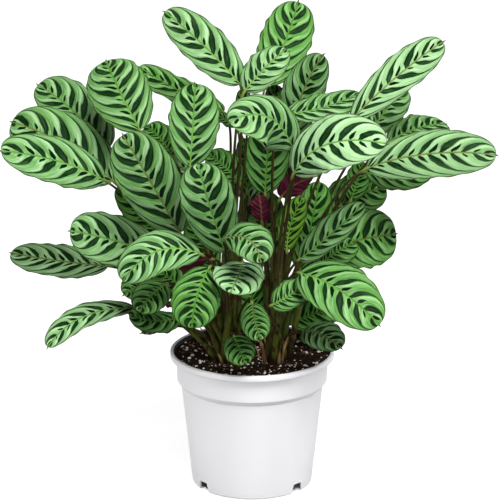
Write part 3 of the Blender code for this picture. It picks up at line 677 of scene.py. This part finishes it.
def blade_top():
    """The upper side: mint green with dark bars, a painted grey sheen past each bar, painted shade before
    the next bar, and a fine dark margin.
    """
    tree = BladeSkin("blade upper side", 0.4)
    out = tree.out
    dark, part, thick, inner = bar_mask(tree)
    streaks = tree.fibres(11.0, 2.5, 5.0, 3.0, 0.6)
    threads = tree.fibres(20.0, 2.0, 3.0)
    hairlines = tree.fibres(46.0, 1.5, 13.0)
    patches = tree.noise(tree.joined(tree.across * 2.2, tree.u * 3.0, tree.seed * 7.0), 1.0)
    past = part - 0.5
    # Painted sheen just past each bar, and painted shade just before the next bar.
    sheen = tree.rise(past, thick - 0.02, thick + 0.12) * tree.rise(past, thick + 0.42, thick + 0.12)
    sheen = sheen * tree.rise(out, 0.05, 0.3) * tree.rise(out, 0.98, 0.7)
    shade = tree.rise(-1.0 * past, thick + 0.3, thick + 0.02) * tree.rise(past, 0.02, -0.02)
    field = tree.mix(tree.rise(streaks, 0.25, 0.75), FIELD_DEEP, FIELD_PALE)
    # The field's coats: yellow patches, painted sheen, painted shade, pale painted sheen and dark lines
    # along the veins, fine dark veins, a painted highlight on blades that catch the light, and the young
    # leaf's green.
    field = tree.coats(
        field, (0.55 * tree.rise(patches, 0.4, 0.75), FIELD_YELLOW), (0.5 * sheen, FIELD_PAINTED_SHEEN),
        (0.6 * shade * tree.rise(out, 0.04, 0.25), FIELD_DEEP),
        (0.4 * tree.rise(threads, 0.5, 0.75), FIELD_PAINTED_SHEEN),
        (0.4 * tree.rise(threads, 0.46, 0.3), FIELD_DEEP),
        ((0.35 + 0.4 * out) * tree.rise(hairlines, 0.48, 0.34), FIELD_DEEP),
        (0.75 * tree.maths("MAXIMUM", tree.tone, 0.0), FIELD_PAINTED_HIGHLIGHT), (tree.young, YOUNG_GREEN))
    # The bars' lighter middles are partly their own softer green and partly painted sheen; the glint on
    # them is a painted highlight.
    bars = tree.mix(tree.rise(streaks, 0.2, 0.65) * inner, BAR_DEEP, BAR_SOFT)
    glint = tree.rise(patches, 0.45, 0.65) * tree.rise(hairlines, 0.4, 0.6) * inner
    bars = tree.mix(0.5 * glint, bars, BAR_PAINTED_SHEEN)
    rib = tree.mix(tree.rise(tree.u, 0.15, 0.7), RIB_LOW, RIB_HIGH)
    rib = tree.mix(tree.chance(tree.seed * 53.0) > 0.75, rib, RIB_BROWN)
    from_edge = (1.0 - out) * tree.half
    face = tree.coats(
        field, (dark, bars), (0.8 * tree.rise(tree.from_rib, 1.1 * MM, 0.5 * MM), BAR_SOFT),
        (tree.rise(tree.from_rib, 0.65 * MM, 0.35 * MM), rib),
        (0.9 * tree.rise(from_edge, 1.3 * MM, 0.6 * MM), MARGIN_BROWN))
    # Painted light and shade for the whole blade: tone lifts or lowers its brightness, and below zero drops
    # red and blue for the deeper green of painted shade; the small random part is the leaf's own paleness.
    level = 1.04 + 0.42 * tree.tone + 0.16 * (tree.chance(tree.seed * 77.0) - 0.5)
    painted_shade_green = 1.0 + 0.5 * tree.maths("MINIMUM", tree.tone, 0.0)
    tree.wear("Base Color", face * tree.joined(level * painted_shade_green, level, level * painted_shade_green * painted_shade_green))
    tree.wear("Roughness", 0.36 + 0.14 * streaks - 0.05 * dark)
    tree.raise_veins(streaks, 0.22, 0.5, 0.4 * MM)
    return tree.material


def blade_under():
    """The underside: wine red, darker under the bars, with a browner rib."""
    tree = BladeSkin("blade underside", 0.5)
    streaks = tree.fibres(9.0, 2.5, 5.0, 3.0, 0.6)
    face = tree.mix(tree.rise(streaks, 0.25, 0.8), WINE_DEEP, WINE_SOFT)
    face = tree.coats(face, (0.35 * bar_mask(tree)[0], WINE_DEEP),
                      (0.7 * tree.rise(tree.from_rib, 1.6 * MM, 0.6 * MM), WINE_RIB))
    tree.wear("Base Color", face)
    tree.raise_veins(streaks, 0.25, 0.4, 0.3 * MM)
    return tree.material


def blade_tree():
    """The geometry tree of one blade: a closed sheet around the midrib from heel to tip."""
    tree, given = geometry_tree("blade", BLADE_INPUTS)
    heel, pull, tip, faces, turned, wide = given[:6]
    swell, tone, young, seed, top, under = given[12:]
    grid = tree.shape("MeshGrid", {"Size X": 2.0, "Size Y": 2.0, "Vertices X": BLADE_COLUMNS,
                                   "Vertices Y": BLADE_ROWS + 1})
    x, y = tree.parts(tree.shape("InputPosition"))[:2]
    v = tree.maths("SIGN", x) * abs(x) ** 1.4
    out = abs(v)
    right = v > 0.0
    fold, curl, share = [one + right * (two - one) for one, two in zip(given[6:12:2], given[7:12:2])]
    run = 0.5 * (y + 1.0)
    u = 0.5 - 0.5 * tree.maths("COSINE", math.pi * tree.maths("MINIMUM", run / (1.0 - SPIKE_PART), 1.0))
    spike = tree.maths("MAXIMUM", (run - (1.0 - SPIKE_PART)) / SPIKE_PART, 0.0)
    left_u = 1.0 - u
    spine = left_u * left_u * heel + 2.0 * u * left_u * pull + u * u * tip
    along = tree.maths("NORMALIZE", left_u * (pull - heel) + u * (tip - pull))
    side = tree.maths("NORMALIZE", tree.maths("CROSS_PRODUCT", along, left_u * faces + u * turned))
    up = tree.maths("CROSS_PRODUCT", side, along)
    shifted = u ** 1.1
    rounding = tree.maths("MAXIMUM", 4.0 * shifted * (1.0 - shifted), 0.0) ** 0.42
    half = tree.maths("MAXIMUM", 0.5 * wide * rounding, HEEL_HALF * left_u) * share
    half = tree.maths("MAXIMUM", half, SPIKE_HALF * (u > 0.5) * (1.0 - spike))
    ended = fold + curl * out
    across = (tree.maths("SINE", ended) - tree.maths("SINE", fold)) / curl * half
    lift = (tree.maths("COSINE", fold) - tree.maths("COSINE", ended)) / curl * half
    ends = tree.maths("SINE", math.pi * u)
    wave = tree.maths("SINE", TURN * (EDGE_WAVES * u + 0.25 * right))
    fine = tree.maths("SINE", TURN * (FINE_WAVES * u + 0.37 * right + seed))
    count = bar_count(out, u, right, seed)
    beat = tree.maths("COSINE", TURN * count)
    ridges = beat * 4.0 * out * (1.0 - out)
    across = across * (1.0 + SCALLOP * ends * beat * out ** 6.0)
    lumps = tree.noise(tree.joined(v * 1.3, u * 3.0, seed * 31.0), 1.0) - 0.5
    lift = lift + ends * (out * out * (swell * wave + FINE_WAVE * out * fine)
                          + RELIEF * ridges + BUCKLE * out * lumps)
    hook = (seed - 0.5) * spike * spike
    middle = (spine + side * (tree.maths("SIGN", v) * across) + up * lift
              + SPIKE_LENGTH * (along * spike + side * hook))
    flesh = 0.5 * BLADE_THICK * (1.0 - abs(x) ** 6.0) * (1.0 - abs(y) ** 12.0)
    from_rib = v * half / RIB_HALF
    rib = tree.maths("EXPONENT", -1.0 * from_rib * from_rib) * left_u ** 0.6 * (1.0 - abs(y) ** 12.0)
    marked = tree.kept(grid, "place", tree.joined(v, u, half))
    marked = tree.kept(marked, "mood", tree.joined(tone, seed, young))
    sheets = []
    for lean, depth, material in ((1.0, flesh - 0.3 * RIB_HEIGHT * rib, top),
                                  (-1.0, flesh + RIB_HEIGHT * rib, under)):
        sheet = tree.shape("SetPosition", {"Geometry": marked, "Position": middle + up * (lean * depth)})
        if lean < 0:
            sheet = tree.shape("FlipFaces", {"Mesh": sheet})
        sheets.append(tree.shape("SetMaterial", {"Geometry": sheet, "Material": material}))
    whole = tree.shape("JoinGeometry", {"Geometry": sheets[::-1]})
    whole = tree.shape("MergeByDistance", {"Geometry": whole, "Distance": 0.02 * MM})
    whole = tree.shape("SetShadeSmooth", {"Geometry": whole})
    margin = abs(tree.parts(tree.named("place"))[0]) > 0.999
    whole = tree.shape("SetShadeSmooth", {"Geometry": whole, "Selection": margin, "Shade Smooth": False},
                       domain="EDGE")
    tree.node("NodeGroupOutput", {"Result": tree.shape("RealizeInstances", {"Geometry": whole})})
    return tree


def make_blades():
    """All the blades, each in the place of its solid where it has one of its own."""
    tree = blade_tree()
    top = blade_top()
    under = blade_under()
    blades = []
    for number, one in enumerate(leaves):
        piece = add_object("blade_" + one["name"], bpy.data.meshes.new("blade"))
        values = {"Pull": pulled(one), "Young": one["name"] == "young_upright", "Seed": lot_of(number),
                  "Top": top, "Under": under}
        for label in ("Heel", "Tip", "Faces", "Turned", "Wide", "Wave", "Tone"):
            values[label] = one[label.lower()]
        for label in ("Fold", "Curl", "Share"):
            values[label + " left"], values[label + " right"] = one[label.lower()]
        for label, kind in BLADE_INPUTS.items():
            if kind == "Vector":
                values[label] = [float(x) for x in values[label]]
            elif kind == "Float":
                values[label] = float(values[label])
        blades.append(grow(piece, tree, values))
    settle(blades)
    for piece, one in zip(blades, leaves):
        nodes = [] if one["fused"] else ["leaf_" + one["name"]]
        seat(piece, "leaf", *nodes)


def stalk_material():
    """Stalks: olive and brown sheaths below, thin and maroon brown above, yellow green at the joint."""
    tree = Skin("stalk skin", 0.45, STALK_GLOSS)
    share, seed, kind = tree.marked("course")
    point = tree.place()
    x, y, z = tree.parts(point)
    streaks = tree.noise(tree.joined(x * 900.0, y * 900.0, z * 60.0 + seed * 40.0), 1.0, 3.0, 0.6)
    blots = tree.noise(tree.joined(x * 160.0, y * 160.0, z * 90.0 + seed * 70.0), 1.0, 2.0)
    sheath = tree.mix(tree.rise(tree.chance(seed * 91.0), 0.3, 0.7), SHEATH_OLIVE, SHEATH_YELLOW)
    upper = tree.mix(tree.rise(streaks, 0.35, 0.7), UPPER_MAROON, UPPER_OLIVE)
    dead = tree.mix(tree.rise(blots, 0.4, 0.6), DEAD_TAN, DEAD_BROWN)
    skin = tree.coats(
        sheath, (tree.rise(blots, 0.46, 0.62), SHEATH_BROWN), (tree.rise(share, 0.2, 0.05), SHEATH_EARTH),
        (tree.rise(share, 0.36 + SHEATH_VARY * seed, 0.44 + SHEATH_VARY * seed), upper),
        (tree.rise(share, 0.94, 0.97), JOINT_GREEN), (kind, dead),
        (0.3 * tree.rise(streaks, 0.4, 0.8), SHEATH_EARTH))
    tree.wear("Base Color", skin)
    tree.wear("Roughness", 0.38 + 0.3 * kind + 0.15 * streaks)
    tree.bump(streaks, 0.3 * MM)
    return tree.material


def stalk_tree():
    """The geometry tree that turns marked lines into tapered stalks."""
    tree, (lines,) = geometry_tree("stalks", {"Lines": "Geometry"})
    curve = tree.shape("MeshToCurve", {"Mesh": lines})
    ring = tree.shape("CurvePrimitiveCircle", {"Resolution": STALK_SIDES})
    tube = tree.shape("CurveToMesh", {"Curve": curve, "Profile Curve": ring, "Fill Caps": True,
                                      "Scale": tree.named("thick", "FLOAT")})
    end_tree(tree, tube, stalk_material())
    return tree


def fade(value, low, high):
    """The same soft step as Tree.rise, for plain numbers."""
    share = np.clip((np.asarray(value, float) - low) / (high - low), 0, 1)
    return share * share * (3 - 2 * share)


def stalk_thickness(points, seed):
    """A stalk's radius at each of its points: sheathed below, thin above, a little thicker at its joint."""
    steps = np.linalg.norm(np.diff(points, axis=0), axis=1)
    run = np.concatenate(([0.0], np.cumsum(steps)))
    share = run / run[-1]
    thick = STALK_BASE + (STALK_END - STALK_BASE) * share
    sheathed = fade(share, 0.46 + SHEATH_VARY * seed, 0.34 + SHEATH_VARY * seed)
    thick = thick + SHEATH_THICK * sheathed * (1 - 0.4 * share)
    thick = thick + JOINT_THICK * fade(run[-1] - run, JOINT_LENGTH, 0.7 * JOINT_LENGTH)
    thick[-1] *= STALK_POINT
    return share, thick


def add_line(work, points, thick, course, layers):
    """Add one line with its radii and its marks to a mesh in the making."""
    for vertex, radius, mark in zip(add_chain(work, points), thick, course):
        vertex[layers[0]] = float(radius)
        vertex[layers[1]] = Vector(mark)


def stub_points(centre, dice):
    """Points along a short dry sheath that leans out of a crown."""
    turn = dice.uniform(0, TURN)
    reach = CROWN_RADIUS * math.sqrt(dice.uniform(0.1, 0.95))
    foot = np.array((centre[0] * CROWN_ACROSS + reach * math.cos(turn),
                     centre[1] * CROWN_DEEP + reach * math.sin(turn), SOIL_TOP - 4 * MM))
    high = dice.uniform(*STUB_HEIGHTS)
    lean = high * dice.uniform(0.1, 0.55)
    t = np.linspace(0, 1, STUB_STEPS + 1)[:, None]
    way = np.array((math.cos(turn), math.sin(turn), 0.0))
    return foot + t * np.array((0.0, 0.0, high)) + t ** 2 * way * lean


def make_stalks():
    """The four bunches of stalks, with dry sheaths between them, each in the place of its solid."""
    tree = stalk_tree()
    dice = np.random.default_rng(STUB_SEED)
    bunches = []
    for centre in CROWNS:
        work = bmesh.new()
        layers = (work.verts.layers.float.new("thick"), work.verts.layers.float_vector.new("course"))
        for number, one in enumerate(leaves):
            if quarter(one) == centre:
                points = stalk_points(one, number)
                seed = lot_of(number)
                share, thick = stalk_thickness(points, seed)
                add_line(work, points, thick, [(s, seed, 0.0) for s in share], layers)
        for number in range(STUBS_A_CROWN):
            points = stub_points(centre, dice)
            share = np.linspace(0, 1, len(points))
            thick = dice.uniform(1.2, 2.6) * MM * (1 - 0.75 * share)
            seed = dice.uniform()
            add_line(work, points, thick, [(s, seed, 1.0) for s in share], layers)
        side = "right" if centre[0] > 0 else "left"
        end = "back" if centre[1] > 0 else "front"
        bunch = add_made(f"bunch_{end}_{side}", work)
        bunches.append(grow(bunch, tree))
    settle(bunches)
    for bunch in bunches:
        seat(bunch, "stalk", bunch.name.replace("bunch", "stalks"))


def arc(centre, radius, start, end, steps):
    """Points (radius, height) of an arc between two angles in degrees, 0 outwards and 90 up."""
    angles = np.radians(np.linspace(start, end, steps + 1))
    return [(centre[0] + radius * math.cos(a), centre[1] + radius * math.sin(a)) for a in angles]


def outer_profile():
    """The pot's outside from the rim's top to the foot, as (radius, height)."""
    lip = arc((RIM_RADIUS - RIM_ROUND, POT_HEIGHT - RIM_ROUND), RIM_ROUND, 90, 0, 7)
    tuck = arc((RIM_RADIUS - RIM_ROUND, LIP_LOW + RIM_ROUND), RIM_ROUND, 0, -90, 6)
    collar = [(COLLAR_RADIUS + 1.2 * MM, LIP_LOW), (COLLAR_RADIUS + 0.3 * MM, LIP_LOW - 0.3 * MM),
              (COLLAR_RADIUS, LIP_LOW - 1.0 * MM)]
    edge = COLLAR_RADIUS - COLLAR_DRAFT - STEP_ROUND
    turn = arc((edge, COLLAR_LOW + STEP_ROUND), STEP_ROUND, 0, -50, 4)
    groove = [(BODY_RADIUS, STEP_LOW), (BODY_RADIUS - GROOVE, STEP_LOW - 0.6 * GROOVE),
              (BODY_RADIUS, STEP_LOW - 2.0 * GROOVE)]
    foot = arc((BASE_RADIUS - FOOT_ROUND, FOOT_ROUND), FOOT_ROUND, -5, -90, 7)
    return lip + tuck + collar + turn + groove + foot + [(0.0, 0.0)]


def inner_profile():
    """The pot's inside from the middle of the floor up to the rim, as (radius, height)."""
    return [
        (0.0, FLOOR), (BASE_RADIUS - WALL, FLOOR), (BODY_RADIUS - WALL, STEP_LOW),
        (COLLAR_RADIUS - COLLAR_DRAFT - WALL, COLLAR_LOW), (COLLAR_RADIUS - WALL, LIP_LOW - 0.4 * MM),
        (RIM_INNER, LIP_LOW + 1.6 * MM), (RIM_INNER + 0.3 * MM, POT_HEIGHT - 1.0 * MM),
        (RIM_INNER + 0.7 * MM, POT_HEIGHT - 0.25 * MM)]


def split_long(points, most):
    """The same line with no step longer than most."""
    dense = [points[0]]
    for first, second in zip(points, points[1:]):
        count = max(1, math.ceil(math.dist(first, second) / most))
        for step in range(1, count + 1):
            dense.append(tuple(a + (b - a) * (step / count) for a, b in zip(first, second)))
    return dense


def turned(name, points, steps):
    """A piece made by turning a line of (radius, height) once round the pot's axis."""
    work = bmesh.new()
    add_chain(work, [(radius, 0.0, height) for radius, height in points])
    piece = add_made(name, work)
    screw = piece.modifiers.new("turn", "SCREW")
    screw.steps = screw.render_steps = steps
    screw.use_merge_vertices = True
    screw.merge_threshold = 0.01 * MM
    return piece


def drain_cutter(azimuth):
    """A block that narrows upwards, which cuts one drain notch into the pot's foot."""
    way = math.radians(azimuth)
    work = bmesh.new()
    bmesh.ops.create_cube(work, size=1.0)
    for vertex in work.verts:
        width = DRAIN_TOP_WIDTH if vertex.co.z > 0 else 2 * DRAIN_WIDTH - DRAIN_TOP_WIDTH
        outward = BASE_RADIUS + vertex.co.x * DRAIN_DEPTH
        sideways = vertex.co.y * width
        vertex.co = (outward * math.cos(way) - sideways * math.sin(way),
                     outward * math.sin(way) + sideways * math.cos(way), 2 * vertex.co.z * DRAIN_HEIGHT)
    return add_made("drain", work)


def plastic(name, pale, deep):
    """Moulded plastic: faint flow marks and a fine grain, and painted shade on top of the rim, where the
    key lamp is brightest.
    """
    tree = Skin(name, POT_ROUGHNESS)
    point = tree.place()
    clouds = tree.noise(point, 22.0, 3.0, 0.6)
    grain = tree.noise(point, 1800.0, 2.0)
    x, y, z = tree.parts(point)
    runs = tree.noise(tree.joined(x * 60.0, y * 60.0, z * 8.0), 1.0, 2.0)
    face = tree.mix(0.6 * tree.rise(clouds, 0.35, 0.75), pale, deep)
    # Painted shade: the rim's top is darkened to tone down the key lamp there.
    rim = tree.rise(z, POT_HEIGHT - 1.6 * MM, POT_HEIGHT - 0.8 * MM)
    tree.wear("Base Color", face * (1.0 - RIM_PAINTED_SHADE * rim))
    tree.wear("Roughness", POT_ROUGHNESS - 0.06 + 0.12 * runs)
    tree.bump(0.35 * grain + runs, 0.12 * MM)
    return tree.material


def make_pot():
    """The nursery pot: white outside, charcoal inside, with three drain notches."""
    pot = turned("nursery_pot", split_long(inner_profile() + outer_profile(), POT_STEP), POT_STEPS)
    cutters = [drain_cutter(azimuth) for azimuth in DRAIN_AZIMUTHS]
    for cutter in cutters:
        cut = pot.modifiers.new("drain", "BOOLEAN")
        cut.operation = "DIFFERENCE"
        cut.object = cutter
    settle([pot])
    for cutter in cutters:
        bpy.data.objects.remove(cutter)
    pot.data.materials.clear()
    pot.data.materials.append(plastic("white plastic", POT_WHITE, POT_SHADE))
    pot.data.materials.append(plastic("charcoal plastic", POT_INNER, POT_INNER_SHADE))
    for face in pot.data.polygons:
        reach = math.hypot(face.center.x, face.center.y)
        inward = face.normal.x * face.center.x + face.normal.y * face.center.y < -0.2 * reach
        in_wall = face.center.z < POT_HEIGHT - 1.2 * MM
        face.material_index = 1 if inward and in_wall and reach > FOOT_RADIUS * 0.8 else 0
        face.use_smooth = True
    pot.data.set_sharp_from_angle(angle=POT_SHARP)
    seat(pot, "white plastic", "pot")


def wall_at(height):
    """The radius of the pot's inside at a height."""
    radii, heights = zip(*inner_profile()[1:])
    return float(np.interp(height, heights, radii))


def soil_material():
    """Peaty potting soil: nearly black, with browner crumbs and a few paler fibres."""
    tree = Skin("potting soil", 0.95, EARTH_GLOSS)
    point = tree.place()
    crumbs = tree.noise(point, 330.0, 4.0, 0.65)
    clods = tree.noise(point, 85.0, 2.0)
    hairs = tree.noise(point, 700.0, 2.0, 0.5, 2.5)
    face = tree.mix(tree.rise(crumbs, 0.35, 0.65), SOIL_BLACK, SOIL_BROWN)
    face = tree.coats(face, (0.6 * tree.rise(clods, 0.45, 0.65), SOIL_BLACK),
                      (tree.rise(hairs, 0.66, 0.72), SOIL_FIBRE))
    tree.wear("Base Color", face)
    tree.bump(crumbs + 0.6 * clods, 1.6 * MM)
    return tree.material


def soil_tree():
    """The geometry tree that lets the soil's top swell and breaks it into lumps."""
    tree, (solid,) = geometry_tree("soil", {"Solid": "Geometry"})
    point = tree.shape("InputPosition")
    x, y, z = tree.parts(point)
    reach = tree.maths("SQRT", x * x + y * y)
    top = tree.rise(z, SOIL_TOP - 3.0 * MM, SOIL_TOP - 1.5 * MM)
    inside = tree.rise(reach, wall_at(SOIL_TOP), wall_at(SOIL_TOP) - 6.0 * MM)
    swell = tree.noise(point, 28.0, 1.0) - 0.5
    lumps = tree.noise(point, 190.0, 3.0, 0.6) - 0.5
    rise = top * inside * (2.0 * SOIL_SWELL * swell + 2.0 * SOIL_CRUMB * lumps)
    moved = tree.shape("SetPosition", {"Geometry": solid, "Offset": tree.joined(0.0, 0.0, rise)})
    end_tree(tree, moved, soil_material())
    return tree


def crumb_tree():
    """The geometry tree that strews one kind of lump over the soil's top."""
    tree, (soil, number, seed, smallest, largest, form, rough, skin) = geometry_tree("crumbs", {
        "Soil": "Geometry", "Number": "Float", "Seed": "Int", "Smallest": "Float", "Largest": "Float",
        "Form": "Vector", "Rough": "Float", "Skin": "Material"})
    x, y, z = tree.parts(tree.shape("InputPosition"))
    reach = tree.maths("SQRT", x * x + y * y)
    upward = tree.parts(tree.shape("InputNormal"))[2]
    strewn = (upward > 0.5) * (z > SOIL_TOP - 6.0 * MM) * (wall_at(SOIL_TOP) - 2.0 * MM > reach)
    points = tree.shape("DistributePointsOnFaces",
                        {"Mesh": soil, "Selection": strewn, "Density": number, "Seed": seed})
    lump = tree.shape("MeshIcoSphere", {"Radius": 0.5, "Subdivisions": 2})
    lump = tree.shape("SetPosition", {"Geometry": lump, "Position": tree.shape("InputPosition") * form})
    size = tree.node("FunctionNodeRandomValue", {2: smallest, 3: largest, 8: seed}, out=1)
    turn = tree.node("FunctionNodeRandomValue", {0: (-0.5, -0.5, 0.0), 1: (0.5, 0.5, TURN), 8: seed},
                     data_type="FLOAT_VECTOR")
    turn = tree.node("FunctionNodeEulerToRotation", {"Euler": turn})
    strewn = tree.shape("InstanceOnPoints",
                        {"Points": points, "Instance": lump, "Scale": size, "Rotation": turn})
    real = tree.shape("RealizeInstances", {"Geometry": strewn})
    point = tree.shape("InputPosition")
    jag = tree.node("ShaderNodeTexNoise", {"Vector": point, "Scale": 420.0, "Detail": 1.0}, out=1)
    jag = jag - (0.5, 0.5, 0.5)
    real = tree.shape("SetPosition", {"Geometry": real, "Offset": jag * rough})
    end_tree(tree, real, skin)
    return tree


def crumb_material(name, deep, pale, roughness):
    """A mottled material for one kind of lump in the soil."""
    tree = Skin(name, roughness, EARTH_GLOSS)
    point = tree.place()
    mottle = tree.noise(point, 260.0, 3.0, 0.6)
    tree.wear("Base Color", tree.mix(tree.rise(mottle, 0.38, 0.62), deep, pale))
    tree.bump(tree.noise(point, 900.0, 2.0), 0.5 * MM)
    return tree.material


def make_soil():
    """The potting soil with its rough top, and the lumps that lie on it."""
    edge = wall_at(SOIL_TOP) - GAP
    top = [(ring, SOIL_TOP) for ring in np.arange(0.0, edge - SOIL_RING, SOIL_RING)]
    top.append((edge, SOIL_TOP - EDGE_DROP))
    wall = [(radius - GAP, height + GAP) for radius, height in inner_profile()[4:1:-1]]
    ledge = DRAIN_HEIGHT + 1 * MM
    hollow = [(wall_at(ledge) - GAP, ledge), (BASE_RADIUS - DRAIN_SILL, ledge),
              (BASE_RADIUS - DRAIN_SILL, FLOOR + GAP)]
    soil = turned("potting_soil", top + wall + hollow + [(0.0, FLOOR + GAP)], SOIL_STEPS)
    settle([soil])
    grow(soil, soil_tree())
    settle([soil])
    tree = crumb_tree()
    heaps = []
    for name, number, seed, sizes, form, rough, colours, roughness in CRUMBS:
        heap = add_object(name, soil.data.copy())
        heap.data.materials.clear()
        heaps.append(grow(heap, tree, {
            "Number": float(number), "Seed": seed, "Smallest": sizes[0], "Largest": sizes[1], "Form": form,
            "Rough": rough, "Skin": crumb_material(name, *colours, roughness)}))
    settle(heaps)
    for heap in heaps:
        seat(heap, "potting soil")
    seat(soil, "potting soil", "soil")


def make_camera():
    """The photograph's view of the plant."""
    data = bpy.data.cameras.new("camera")
    data.sensor_width = SENSOR
    data.lens = VIEW_FOCAL / FRAME_LONG_SIDE * SENSOR
    data.clip_end = 50.0
    camera = add_object("camera", data)
    camera.location = VIEW_EYE
    camera.rotation_euler = (math.pi / 2 - VIEW_PITCH, 0.0, 0.0)
    bpy.context.scene.camera = camera


def make_floor():
    """A plain pale floor under the pot."""
    work = bmesh.new()
    bmesh.ops.create_grid(work, x_segments=1, y_segments=1, size=FLOOR_REACH)
    for vertex in work.verts:
        vertex.co.z = -FLOOR_DROP
    floor = add_made("floor", work)
    tree = Skin("floor", 0.9, 0.0)
    tree.wear("Base Color", FLOOR_WHITE)
    tree.wear("Emission Color", PLAIN_WHITE)
    tree.wear("Emission Strength", FLOOR_GLOW)
    floor.data.materials.append(tree.material)
    floor.visible_diffuse = False


def add_lamp(name, kind, place, aim, power, **settings):
    """A lamp of a kind that looks at a point."""
    data = bpy.data.lights.new(name, kind)
    data.energy = power
    for label, setting in settings.items():
        setattr(data, label, setting)
    lamp = add_object(name, data)
    lamp.location = place
    lamp.rotation_euler = (Vector(aim) - Vector(place)).to_track_quat("-Z", "Y").to_euler()


def make_light():
    """Studio light: an even room, a strong soft lamp above, a weaker one in front, and the pot's lamps.

    The pot's three narrow lamps stand in for the light that a white floor would throw up on it.
    """
    world = bpy.data.worlds.new("studio")
    world.use_nodes = True
    room = world.node_tree.nodes["Background"]
    room.inputs["Color"].default_value = (*PLAIN_WHITE, 1.0)
    room.inputs["Strength"].default_value = ROOM_LIGHT
    bpy.context.scene.world = world
    bpy.context.scene.view_settings.view_transform = "Standard"
    for name, place, aim, size, power in LAMPS:
        add_lamp(name, "AREA", place, aim, power, size=size)
    for place, power in POT_LAMPS:
        add_lamp("pot lamp", "SPOT", place, POT_MIDDLE, power, spot_size=math.radians(POT_LAMP_CONE),
                 spot_blend=POT_LAMP_SOFT, shadow_soft_size=POT_LAMP_SIZE)


list_leaves()
make_camera()
make_light()
make_floor()
make_pot()
make_soil()
make_stalks()
make_blades()
